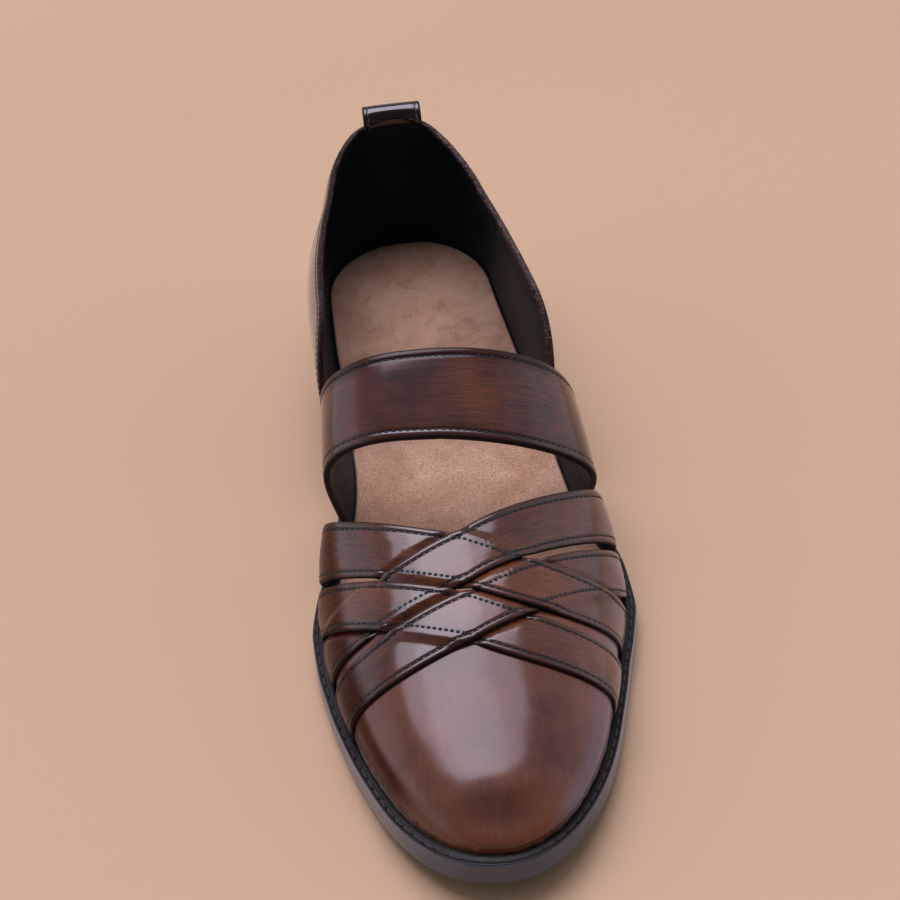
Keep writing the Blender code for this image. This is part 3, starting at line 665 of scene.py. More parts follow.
def suede(name):
    N = Nodes(name)
    v = N.coords("object")
    fine = N.noise(v, 2600.0, 3.0, 0.7)
    speck = N.noise(v, 1700.0, 4.0, 0.75)
    blot = N.noise(v, 44.0, 5.0, 0.6, 0.7)
    broad = N.noise(v, 13.0, 2.0)
    # the heel seat is worn smoother than the forepart, and carries painted shade
    y = N.part(v, 1)
    heel = N.remap(y, 0.020, 0.045, 0.0, 1.0, True)
    c = N.mix(N.remap(blot, 0.34, 0.68), (0.565, 0.310, 0.188), (0.80, 0.500, 0.338))
    c = N.mix(N.math('MULTIPLY', N.remap(speck, 0.47, 0.62), N.remap(heel, 0, 1, 0.75, 0.30)), c, (0.24, 0.105, 0.055))
    c = N.mix(N.math('MULTIPLY', N.remap(fine, 0.50, 0.72), N.remap(heel, 0, 1, 0.45, 0.10)), c, (0.60, 0.40, 0.30))
    c = N.mix(N.math('MULTIPLY', N.remap(broad, 0.45, 0.7), 0.3), c, (0.36, 0.18, 0.105))
    worn = N.noise(N.coords("object", (1.0, 0.7, 1.0), (4.1, 0.3, 0.0)), 150.0, 6.0, 0.68, 0.5)
    c = N.mix(N.math('MULTIPLY', N.remap(worn, 0.50, 0.66), N.remap(heel, 0, 1, 0.10, 0.50)), c, (0.17, 0.085, 0.052))
    rub = N.noise(N.coords("object", offset=(0.9, 2.7, 0.0)), 70.0, 4.0, 0.6)
    c = N.mix(N.math('MULTIPLY', N.remap(rub, 0.50, 0.66), N.remap(heel, 0, 1, 0.15, 0.40)), c, (0.74, 0.50, 0.36))
    e = N.part(N.coords("strip"), 2)
    c = N.mix(N.remap(e, 0.0001, 0.0009, 0.75, 0.0, True), c, (0.05, 0.026, 0.016))
    # painted shade: the heel seat is darkened overall, standing in for the forepart catching more light
    c = N.mix(N.remap(heel, 0, 1, 0.0, 0.45), c, (0.24, 0.138, 0.094))
    N.colour(c)
    N.rough(0.9)
    N.set(**{"Sheen Weight": 0.2, "Sheen Roughness": 0.5, "Specular IOR Level": 0.2})
    N.bump([speck, fine, blot], [0.25, 0.22, 0.2], [0.0003, 0.0002, 0.001])
    return N.m


def rubber(name, c1, c2, rough=(0.34, 0.46), coat=0.0, sides=False):
    N = Nodes(name)
    v = N.coords("object")
    a = N.noise(v, 1200.0, 3.0, 0.6)
    b = N.noise(v, 60.0, 4.0, 0.55, 0.4)
    s = N.noise(N.coords("object", (30, 30, 700)), 1.0, 3.0, 0.6)
    c = N.mix(N.remap(b, 0.35, 0.68), c1, c2)
    if sides:
        # painted reflection: the sides are painted paler and bluer than round the toe
        x = N.part(v, 0)
        c = N.mix(N.remap(x, -0.022, -0.042, 0.0, 0.85, True), c, (0.225, 0.238, 0.292))
        c = N.mix(N.remap(x, 0.022, 0.042, 0.0, 0.90, True), c, (0.300, 0.322, 0.385))
        # the painted reflection fades out round the heel, which keeps a plain dark grey
        c = N.mix(N.remap(N.part(v, 1), 0.035, 0.125, 0.0, 0.72, True), c, (0.058, 0.058, 0.066))
    N.colour(c)
    N.rough(N.remap(N.math('ADD', N.math('MULTIPLY', b, 0.5), N.math('MULTIPLY', s, 0.5)), 0.35, 0.65, *rough))
    N.set(**{"Coat Weight": coat, "Coat Roughness": 0.2})
    N.bump([a, s], [0.10, 0.10], [0.0001, 0.0002])
    return N.m


def welt_leather(name):
    N = Nodes(name)
    v = N.coords("object")
    a = N.noise(v, 420.0, 4.0, 0.6)
    b = N.noise(v, 90.0, 3.0)
    f = N.noise(v, 2200.0, 2.0)
    N.colour(N.mix(N.remap(a, 0.35, 0.7), (0.0028, 0.0023, 0.0022), (0.0085, 0.0060, 0.0052)))
    N.rough(N.remap(b, 0.3, 0.7, 0.36, 0.55))
    N.set(**{"Specular IOR Level": 0.3})
    N.bump([a, f], [0.35, 0.1], [0.0004, 0.0001])
    return N.m


BROWN_D, BROWN_M, BROWN_W = (0.026, 0.0080, 0.0058), (0.085, 0.0235, 0.0120), (0.200, 0.058, 0.020)
def times(c, k):
    return tuple(v * k for v in c)


VAMP = leather("burnished_vamp", (0.044, 0.018, 0.0155), (0.133, 0.043, 0.0285), (0.265, 0.086, 0.038), (60, 1000, 0),
               margin=0.0001, streak_bump=0.008, coat=0.76, streaks=0.6, cloud=0.07)
STRAP = leather("burnished_strap", times(BROWN_D, 1.1), times(BROWN_M, 1.1), times(BROWN_W, 1.05), (70, 1000, 0), row=True)
BAND = leather("burnished_band", times(BROWN_D, 1.15), times(BROWN_M, 1.15), times(BROWN_W, 1.05), (60, 900, 0), margin=0.00235)
BACKS = leather("patent_quarter", (0.016, 0.0062, 0.005), (0.050, 0.016, 0.010), (0.10, 0.030, 0.015),
                (50, 800, 0), coat=1.0, coat_rough=0.05, level=0.2, rough=(0.14, 0.26), coat_ior=1.7, streak_bump=0.05, margin=0.0026)
TAB = leather("patent_tab", (0.0040, 0.0018, 0.0020), (0.009, 0.0038, 0.0036), (0.018, 0.0066, 0.0050),
              (40, 300, 0), coat=1.0, coat_rough=0.06, coat_ior=1.7, rough=(0.2, 0.3), streak_bump=0.03, margin=0.0018, shade=0.2)
LINING = lining("black_lining")
EDGE = edge_paint("cut_edge", (0.0045, 0.0026, 0.0026), (0.014, 0.0060, 0.0048), 0.55)
EDGE_DARK = edge_paint("dark_edge", (0.010, 0.006, 0.005), (0.028, 0.014, 0.010))
RIM = rim_leather("stitched_rim")
THREAD = thread("dark_thread", (0.0022, 0.0018, 0.0024), (0.0085, 0.007, 0.0085), 0.34)
THREAD_TAB = thread("tab_thread", (0.030, 0.026, 0.032), (0.150, 0.135, 0.155), 0.3)
THREAD_WELT = thread("welt_thread", (0.014, 0.011, 0.010), (0.060, 0.046, 0.040), 0.5)
SUEDE = suede("tan_suede")
SOLE = rubber("painted_sole", (0.056, 0.070, 0.112), (0.086, 0.106, 0.166), (0.34, 0.46), 0.12, True)
TREAD = rubber("sole_tread", (0.020, 0.019, 0.020), (0.034, 0.032, 0.033), (0.5, 0.7))
WELT = welt_leather("black_welt")

PIECES = []


def finish_piece(ob, slot, *replaced):
    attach(ob, "root")
    if replaced:
        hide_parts(*replaced)
    PIECES.append(ob)
    return ob


# =====================================================================================
# sole: outsole, heel and welt
# =====================================================================================

def outline(n, table=None, extra=0.0):
    """closed plan outline, medial heel to toe and back along the lateral side: (n, 2) of (s, x)"""
    a, b = rim(721, table, extra)
    p = np.concatenate([a, b[::-1]])
    keep = [0]
    for i in range(1, len(p)):
        if np.hypot(*(p[i] - p[keep[-1]])) > 1e-6:
            keep.append(i)
    p = p[keep]
    d = np.concatenate([[0], np.cumsum(np.hypot(*np.diff(p, axis=0).T))])
    close = np.hypot(*(p[0] - p[-1]))
    total = d[-1] + close
    t = np.linspace(0, total, n, endpoint=False)
    q = np.vstack([p, p[0]])
    d = np.append(d, total)
    return np.stack([np.interp(t, d, q[:, 0]), np.interp(t, d, q[:, 1])], 1)


def inset_loop(loop, k):
    """moves a closed plan loop inwards by k (mm)"""
    t = np.roll(loop, -1, axis=0) - np.roll(loop, 1, axis=0)
    t /= np.hypot(t[:, 0], t[:, 1])[:, None]
    n = np.stack([-t[:, 1], t[:, 0]], 1)
    centre = loop.mean(0)
    sign = np.sign(((centre - loop) * n).sum(1).mean())
    k = np.asarray(k, float)
    return loop + n * sign * (k[:, None] if k.ndim else k)


def ring_body(name, levels, mats, idx, strip_from=0.0, caps=(True, True), cap_mats=(0, 0), sharp=40.0, grid=None):
    """closed body from a stack of loops of points; the first and last are filled by strips across"""
    m, n = len(levels), len(levels[0])
    verts = np.concatenate(levels)
    faces, index = [], []
    r = np.arange(n)
    s = (r + 1) % n
    for k in range(m - 1):
        faces.append(np.stack([k * n + r, k * n + s, (k + 1) * n + s, (k + 1) * n + r], 1))
        index.append(np.full(n, idx[k]))
    faces = [f for g in faces for f in g.tolist()]
    index = list(np.concatenate(index))
    strip = np.zeros((len(verts), 3))
    d = along(np.vstack([levels[0], levels[0][:1]]))[:-1]
    for k in range(m):
        strip[k * n:(k + 1) * n, 0] = d * 0.001
        strip[k * n:(k + 1) * n, 1] = k * 0.001
        strip[k * n:(k + 1) * n, 2] = 0.02
    for end, cap, cm in ((0, caps[0], cap_mats[0]), (m - 1, caps[1], cap_mats[1])):
        if not cap:
            continue
        base = end * n
        half_n = n // 2
        # loop runs heel -> toe on one side and back on the other: join facing points
        for i in range(half_n - 1):
            a, b = i, i + 1
            c, e = (n - 1 - i), (n - 2 - i)
            if i == 0:
                faces.append((base + a, base + b, base + e, base + c))
            else:
                faces.append((base + a, base + b, base + e, base + c))
            index.append(cm)
    return build(name, verts, faces, mats, index, strip, sharp)


NS = 520


def loop3(loop, z):
    return np.stack([loop[:, 1], loop[:, 0], z], 1)


def make_outsole():
    base = outline(NS)
    levels, idx = [], []
    # from the tread up: flat bottom, softly rounded lower edge, straight side, small top edge
    prof = [(3.2, 0.0, 1), (1.6, 0.0, 1), (0.75, 0.10, 0), (0.28, 0.38, 0), (0.06, 0.80, 0), (0.0, 1.35, 0),
            (0.0, 2.8, 0), (0.0, 4.6, 0), (0.0, 5.40, 0), (0.03, 5.50, 0), (0.8, 5.54, 0), (3.0, 5.54, 0)]
    for inset, h, _ in prof:
        l = inset_loop(base, inset)
        levels.append(loop3(l, under(base[:, 0]) + h))
    idx = [p[2] for p in prof[:-1]]
    ob = ring_body("sole_body", levels, [SOLE, TREAD], idx, cap_mats=(1, 0))
    finish_piece(ob, "sole", "outsole")


def make_heel():
    loop = inset_loop(outline(NS), 0.55)
    i = np.where(loop[:, 0] <= HEEL_BREAST)[0]
    # run of points round the back of the heel, breast to breast, then straight across
    order = np.argsort((i - i[np.argmax(np.diff(i, append=i[0] + NS) > 1)] - 1) % NS) if np.any(np.diff(i) > 1) else np.arange(len(i))
    run = loop[i[order]]
    if run[0, 1] > run[-1, 1]:
        run = run[::-1]
    a, b = run[0].copy(), run[-1].copy()
    a[0] = b[0] = HEEL_BREAST
    t = np.linspace(0, 1, 16)[1:-1]
    # breast bows in slightly towards the heel
    breast = np.stack([HEEL_BREAST - 1.2 * np.sin(math.pi * t), b[1] + (a[1] - b[1]) * t], 1)
    p = np.vstack([a, run[1:-1], b, breast])
    c = p.mean(0)

    def shrink(k):
        q = p - c
        l = np.hypot(q[:, 0], q[:, 1])[:, None]
        return c + q * (l - k) / l
    levels = []
    prof = [(1.4, 0.0), (0.45, 0.12), (0.08, 0.55), (0.0, 1.1), (0.0, 6.0), (0.0, 6.05), (0.12, 6.2), (0.12, 6.35), (0.0, 6.5), (0.0, 12.0), (0.3, 12.55)]
    for k, h in prof:
        q = shrink(k)
        levels.append(np.stack([q[:, 1], q[:, 0], np.full(len(q), h)], 1))
    n = len(p)
    verts = np.concatenate(levels)
    faces = []
    for k in range(len(prof) - 1):
        for r in range(n):
            s = (r + 1) % n
            faces.append((k * n + r, k * n + s, (k + 1) * n + s, (k + 1) * n + r))
    index = [0] * len(faces)
    for end, base in ((0, 0), (1, (len(prof) - 1) * n)):
        ctr = len(verts)
        verts = np.vstack([verts, verts[base:base + n].mean(0)])
        for r in range(n):
            faces.append((base + r, base + (r + 1) % n, ctr))
            index.append(1 - end)
    strip = np.zeros((len(verts), 3))
    ob = build("heel_block", verts, faces, [SOLE, TREAD], index, strip, 40.0)
    finish_piece(ob, "heel", "heel")


def make_welt():
    base = outline(NS)
    k_in = np.where(base[:, 1] < 0, smooth(INSET, 'med', base[:, 0]), smooth(INSET, 'lat', base[:, 0])) + 3.2
    levels = []
    z0 = seat(base[:, 0]) - WELT_T
    top = seat(base[:, 0])
    k_out = [0.0, 0.0, 0.05, 0.22, 0.5]
    h_out = [-0.06, 2.1, 2.6, 2.88, 3.0]
    for k, h in zip(k_out, h_out):
        levels.append(loop3(inset_loop(base, k), z0 + h))
    # a shallow channel that the stitches lie in
    for k, h in ((0.95, 2.98), (1.2, 2.86), (1.55, 2.80), (1.9, 2.86), (2.2, 2.99), (3.0, 3.02)):
        levels.append(loop3(inset_loop(base, k), z0 + h))
    levels.append(loop3(inset_loop(base, k_in), top + 0.02))
    levels.append(loop3(inset_loop(base, k_in), z0 + 0.05))
    n = NS
    verts = np.concatenate(levels)
    m = len(levels)
    faces, index = [], []
    for k in range(m):
        k2 = (k + 1) % m
        for r in range(n):
            s = (r + 1) % n
            faces.append((k * n + r, k * n + s, k2 * n + s, k2 * n + r))
            index.append(0 if 0 <= k < 3 else 1)
    strip = np.zeros((len(verts), 3))
    ob = build("welt_strip", verts, faces, [SOLE, WELT], index, strip, 40.0)
    finish_piece(ob, "welt", "welt")
    st = Stitches()
    path = loop3(inset_loop(base, 1.55), z0 + 2.95)
    path = np.vstack([path, path[:1]])
    up = np.tile([0.0, 0.0, 1.0], (len(path), 1))
    st.line(path, up, 4.7, 4.3, 0.95, 0.75)
    finish_piece(st.mesh("welt_stitches", THREAD_WELT, 8, 6), "welt")


# =====================================================================================
# insole
# =====================================================================================

def make_insole():
    base = outline(NS)
    k0 = np.where(base[:, 1] < 0, smooth(INSET, 'med', base[:, 0]), smooth(INSET, 'lat', base[:, 0])) + UPPER_T + 0.55
    # wider where it shows between the ends of the straps
    t = (base[:, 0] - 193) / 20
    k0 = k0 - np.where(base[:, 1] < 0, 1.5, 2.0) * np.exp(-t ** 4) - 0.25
    levels, ins = [], []
    prof = [(0.0, -2.6), (0.0, 1.7), (0.1, 2.0), (0.35, 2.16), (0.8, 2.2), (2.4, 2.22), (4.5, 2.2), (8.0, 2.1), (12.5, 1.9), (17.5, 1.7)]
    for k, h in prof:
        l = inset_loop(base, k0 + k)
        levels.append(loop3(l, seat(base[:, 0]) + h))
    n = NS
    # the loops at the tips would cross if they went too far in, so they are pulled to a spine
    for q, (k, h) in zip(levels, prof):
        s_lo, s_hi = 5.5 + k, LENGTH - 9.0 - k
        q[:, 1] = np.clip(q[:, 1], s_lo, s_hi)
        q[:, 2] = seat(q[:, 1]) + h
    ob = ring_body("footbed", levels, [SUEDE], [0] * (len(prof) - 1), caps=(True, True))
    me = ob.data
    co = np.empty(len(me.vertices) * 3)
    st = np.concatenate([np.stack([l[:, 1] * 0.001, l[:, 0] * 0.001, np.full(n, k * 0.001)], 1) for l, (k, h) in zip(levels, prof)])
    me.attributes["strip"].data.foreach_set("vector", st.astype(np.float32).ravel())
    finish_piece(ob, "insole", "insole")


# =====================================================================================
# upper: toe vamp and crossed straps
# =====================================================================================
MARGIN = 2.15      # stitch line to strap edge
STRAP_THICK = 1.35


def strap_place(name, a, w):
    """signed distance from a strap's centre line, and its half-width, at (a, w)"""
    c = CROSS[name]['c']
    slope = (c[1] + 2 * c[2] * w + 3 * c[3] * w * w) / HALF_GIRTH
    rear = np.clip(-w if name[0] == 'L' else w, 0, 1)
    hw = (CROSS[name]['width'] - CROSS[name]['taper'] * rear ** 3) / 2
    return (a - cubic(c, w)) / np.sqrt(1 + slope * slope), hw


def edge_profile(e, margin=MARGIN, roll=1.2, drop=0.95, groove=0.22, crown=0.14):
    """height of a turned and stitched edge at distance e from the cut"""
    e = np.asarray(e, float)
    q = np.clip((roll - e) / roll, 0, 1)
    h = -(1 - np.sqrt(np.clip(1 - q * q, 0, 1))) * drop
    h = h + 0.05 * np.exp(-((e - 0.5 * (roll + margin)) / 0.35) ** 2)
    h = h - groove * np.exp(-((e - margin) / 0.40) ** 2)
    return h + crown * ease((e - margin) / 4.0)


def strap_height(name, a, w):
    """height of a strap's outer face over the last, with its neighbours' layers under and over it"""
    u, hw = strap_place(name, a, w)
    h = np.full(np.shape(u), 1.0)
    for top, low in OVER:
        if name == top:
            v, hv = strap_place(low, a, w)
            e = hv - np.abs(v)
            h = h + 0.74 * (1 - ease(-e / 3.2)) + 0.20 * (1 - ease(-e / 0.9))
            h = h - 0.09 * np.exp(-((e - MARGIN) / 0.55) ** 2) + 0.03 * np.exp(-((e - 1.0) / 0.5) ** 2)
        if name == low:
            v, hv = strap_place(top, a, w)
            e = hv - np.abs(v)
            h = h - 0.90 * (1 - ease(-e / 2.6))
    return h + edge_profile(hw - np.abs(u))


def vamp_height(a, w):
    e = np.full(np.broadcast(a, w).shape, -1e3)
    for name in CROSS:
        u, hw = strap_place(name, a, w)
        e = np.maximum(e, hw - np.abs(u))
    return -0.35 - 0.75 * ease(e / 3.0) + 0.35 * (1 - ease((e + 16) / 16))


def on_last(a, w, h=0.0):
    """points and outward normals over the last"""
    a, w = np.broadcast_arrays(np.asarray(a, float), np.asarray(w, float))
    ea, ew = 0.25, 0.004
    w0, w1 = np.clip(w - ew, -1, 1), np.clip(w + ew, -1, 1)
    a0, a1 = a - ea, np.minimum(a + ea, A_MAX)
    da = last(a1, w) - last(a0, w)
    dw = last(a, w1) - last(a, w0)
    n = unit(np.cross(dw, da))
    p = last(a, w)
    return p + n * np.asarray(h)[..., None], n


COLS = [0, .03, .09, .18, .3, .44, .62, .85, 1.1, 1.35, 1.6, 1.82, 2.0, 2.15, 2.3, 2.48, 2.7, 3.0, 3.45, 4.0, 4.6, 5.2, 5.8, 6.4, 7.0]


def make_strap(name, st):
    c = CROSS[name]['c']
    n = 300
    w = keep_off_zero(even_w(lambda w: last(cubic(c, w), w), n))
    hw = strap_place(name, cubic(c, w), w)[1]
    slope = (c[1] + 2 * c[2] * w + 3 * c[3] * w * w) / HALF_GIRTH
    e = np.array(COLS)
    cols = []
    for q in e:
        cols.append(-(hw - q))
    mid = [0 * hw]
    cols = cols + mid + [-x for x in cols[::-1]]
    u = np.stack(cols, 1)
    a = cubic(c, w)[:, None] + u * np.sqrt(1 + slope * slope)[:, None]
    W = np.repeat(w[:, None], u.shape[1], 1)
    h = strap_height(name, a, W)
    outer, nor = on_last(a, W, h)
    edge_h = h - edge_profile(hw[:, None] - np.abs(u))
    inner, _ = on_last(a, W, edge_h - STRAP_THICK + 0.25 * np.exp(-((hw[:, None] - np.abs(u)) / 0.5) ** 2))
    # tuck both ends down between welt and insole
    for row, k in ((0, 1), (-1, -2)):
        for g in (outer, inner):
            g[row] = g[row] + (g[row] - g[k]) * 0.2
            g[row, :, 2] = g[row, :, 2] - 1.4
    d = along(outer[:, u.shape[1] // 2])
    strip = np.stack([np.repeat(d[:, None], u.shape[1], 1), u, hw[:, None] - np.abs(u)], -1) * 0.001
    seed = {"L1": 0.11, "L2": 0.37, "R1": 0.71, "R2": 0.93}[name]
    strip[..., 0] += seed
    # how far each point is from the stitch rows of the strap that lies under this one
    low = dict(OVER)[name]
    v, hv = strap_place(low, a, W)
    if (name, low) == ("L2", "R1"):
        row = np.where(v > 0, hv - MARGIN - v, 8.0)
    else:
        row = hv - MARGIN - np.abs(v)
    # painted shade low on the inner side and a pale painted reflection low on the outer side of the strap
    ob = slab("strap_" + name, outer, inner, strip, [STRAP, EDGE, LINING], edge_cols=4, marks=row * 0.001, painted_light=painted_side_shade_and_sheen(W))
    finish_piece(ob, "vamp")
    # edge stitches
    for k, side in ((COLS.index(2.15), -1), (u.shape[1] - 1 - COLS.index(2.15), 1)):
        col = outer[2:-2, k]
        st.line(col, nor[2:-2, k], 2.3, 1.5, 0.74, 0.60, skip=1.0)
    return ob


def telegraph(st):
    """stitch lines of the lower strap showing through the one that crosses it"""
    for top, low in OVER:
        c = CROSS[low]['c']
        w = keep_off_zero(np.linspace(-0.995, 0.995, 1500))
        slope = (c[1] + 2 * c[2] * w + 3 * c[3] * w * w) / HALF_GIRTH
        hw = strap_place(low, cubic(c, w), w)[1]
        for side in (-1, 1):
            if (top, low, side) == ("L2", "R1", -1):
                continue
            a = cubic(c, w) + side * (hw - MARGIN) * np.sqrt(1 + slope * slope)
            u, ht = strap_place(top, a, w)
            inside = (ht - np.abs(u)) > 0.9
            for other in CROSS:
                if (other, top) in OVER:
                    uo, ho = strap_place(other, a, w)
                    inside &= (ho - np.abs(uo)) < 0.2
            idx = np.where(inside)[0]
            for run in np.split(idx, np.where(np.diff(idx) > 1)[0] + 1):
                if len(run) < 8:
                    continue
                p, nn = on_last(a[run], w[run], strap_height(top, a[run], w[run]) + 0.02)
                st.line(p, nn, 1.80, 1.25, 1.05, 0.56, skip=0.2)


def make_vamp():
    n_w, n_a = 220, 180
    # station lines from the hidden rear edge to the toe
    w = np.linspace(-1, 1, n_w + 1)
    ref = even_w(lambda w: last(np.full_like(w, 250.0), w), n_w + 1)
    w = keep_off_zero(0.75 * ref + 0.25 * w)
    rear = cubic(VAMP_REAR, w)
    t = np.linspace(0, 1, n_a)
    t = 0.82 * t + 0.18 * t * t
    a = rear[None, :] + (A_MAX - rear)[None, :] * t[:, None]
    W = np.repeat(w[None, :], n_a, 0)
    h = vamp_height(a, W)
    # soft pulls in the leather where it is drawn under at the toe
    (sf, xf) = foot(a, 1)
    low = ease((np.abs(W) - 0.80) / 0.16) * ease((a - 236) / 24)
    phase = a * 0.62 + np.where(W < 0, 0.7, 2.1)
    h = h + low * (0.10 * np.sin(phase * 1.31 + 0.8 * np.sin(phase * 0.43)) + 0.06 * np.sin(phase * 2.7 + 1.0))
    # the toe is a little fuller just before it turns down, and flares to the welt at its feather line
    flat = last(a, W)
    h = h + 0.75 * np.exp(-((flat[..., 1] - 277) / 8.0) ** 2 - (flat[..., 0] / 17.0) ** 2)
    h = h + 0.95 * ease((np.abs(W) - 0.82) / 0.18) * ease((a - 232) / 14)
    outer, nor = on_last(a, W, h)
    inner, _ = on_last(a, W, h - 1.9)
    # both halves meet on one line at the very toe
    for g in (outer, inner):
        tip = 0.5 * (g[-1] + g[-1, ::-1] * np.array([-1, 1, 1]))
        g[-1] = tip
        g[-1, :, 0] = 0.0
        g[-1] = 0.5 * (g[-1] + g[-1, ::-1])
    for g in (outer, inner):
        for col, k in ((0, 1), (-1, -2)):
            g[:, col, 2] -= 1.4
    d = along(outer[:, n_w // 2])
    edge = np.minimum.reduce([np.repeat((1 - np.abs(w))[None, :] * 60, n_a, 0), np.full((n_a, n_w + 1), 30.0)])
    # painted shade: dark in a band low on the inner side and across the front of the toe, standing in for dark
    # reflections; painted highlights: a pale line at the feather on the inner side and a pale sheen up the outer side
    end = 1 - ease((a - 268) / 20)
    s_at = outer[..., 1]
    bow = s_at + 0.012 * outer[..., 0] ** 2
    front = ease((bow - 279) / 5) * (1 - ease((bow - 287) / 7)) * (1 - ease((np.abs(outer[..., 0] + 1) - 3) / 15))
    vamp_painted_light = ease((-W - 0.58) / 0.09) * ease((W + 0.91) / 0.06) * end + 0.62 * front
    vamp_painted_light = vamp_painted_light - 0.85 * ease((-W - 0.90) / 0.05) * end - 0.80 * ease((W - 0.50) / 0.28) * (1 - ease((a - 284) / 14))
    # brushed lengthwise: one coordinate runs from heel to toe, the other round the girth
    girth = outer[..., 0] + np.sign(W) * 0.85 * (outer[:, n_w // 2:n_w // 2 + 1, 2] - outer[..., 2]) * (1 - 0.85 * ease((a - 238) / 40))
    strip = np.stack([outer[..., 1], girth, edge], -1) * 0.001
    ob = slab("toe_vamp", outer, inner, strip, [VAMP, EDGE_DARK, LINING], edge_cols=0, merge=0.00003, ends=False,
              painted_light=vamp_painted_light)
    finish_piece(ob, "vamp", "upper")


def make_band(st):
    n = 320
    mid = [(a + b) / 2 for a, b in zip(INSTEP['rear'], INSTEP['front'])]
    w = keep_off_zero(even_w(lambda w: instep(cubic(mid, w), w), n))
    r, f = cubic(INSTEP['rear'], w), cubic(INSTEP['front'], w)
    c = mid
    slope = (c[1] + 2 * c[2] * w + 3 * c[3] * w * w) / 92.0
    wide = (f - r) / np.sqrt(1 + slope * slope)
    e = np.array([0, .03, .09, .18, .3, .45, .65, .9, 1.15, 1.5, 1.8, 2.0, 2.2, 2.35, 2.5, 2.7, 3.0, 3.5, 4.3, 5.4, 6.8, 8.4, 10.2, 12.0])
    cols = [q + 0 * wide for q in e] + [wide / 2] + [wide - q for q in e[::-1]]
    q = np.stack(cols, 1)
    fr = q / wide[:, None]
    a = r[:, None] + (f - r)[:, None] * fr
    W = np.repeat(w[:, None], q.shape[1], 1)
    base = instep(a, W)
    # pulled a little tighter in front than behind
    base[..., 2] += 1.15 * (1 - 2 * fr) * np.sin(math.pi / 2 * (1 - np.abs(W)))
    nor = -normals(base)
    if nor[n // 2, 10, 2] < 0:
        nor = -nor
    dist = np.minimum(q, wide[:, None] - q)
    h = edge_profile(dist, 2.35, 1.15, 0.95, 0.20, 0.10) + 0.35 * np.sin(math.pi * fr)
    h = h + 0.12 * wave(base, 14.0, 0.3)
    outer = base + nor * h[..., None]
    inner = base + nor * (-STRAP_T + 0.25 * np.exp(-(dist / 0.6) ** 2))[..., None]
    for row, k in ((0, 1), (-1, -2)):
        for g in (outer, inner):
            g[row, :, 2] -= 1.4
    d = along(outer[:, q.shape[1] // 2])
    strip = np.stack([np.repeat(d[:, None], q.shape[1], 1), q, dist], -1) * 0.001
    strip[..., 0] += 0.43
    # painted shade along the rear edge over the inner part of the band, and a pale painted reflection along its outer
    # rim
    ob = slab("instep_band", outer, inner, strip, [BAND, EDGE, LINING], edge_cols=4,
              painted_light=0.55 * ease((6.0 - q) / 4.0) * (1 - ease((W - 0.4) / 0.2)) - 0.45 * ease((W - 0.62) / 0.22))
    finish_piece(ob, "strap", "instep_strap")
    k = list(e).index(2.35)
    for col in (k, q.shape[1] - 1 - k):
        st.line(outer[3:-3, col], nor[3:-3, col], 2.25, 1.5, 0.70, 0.56, skip=1.0)


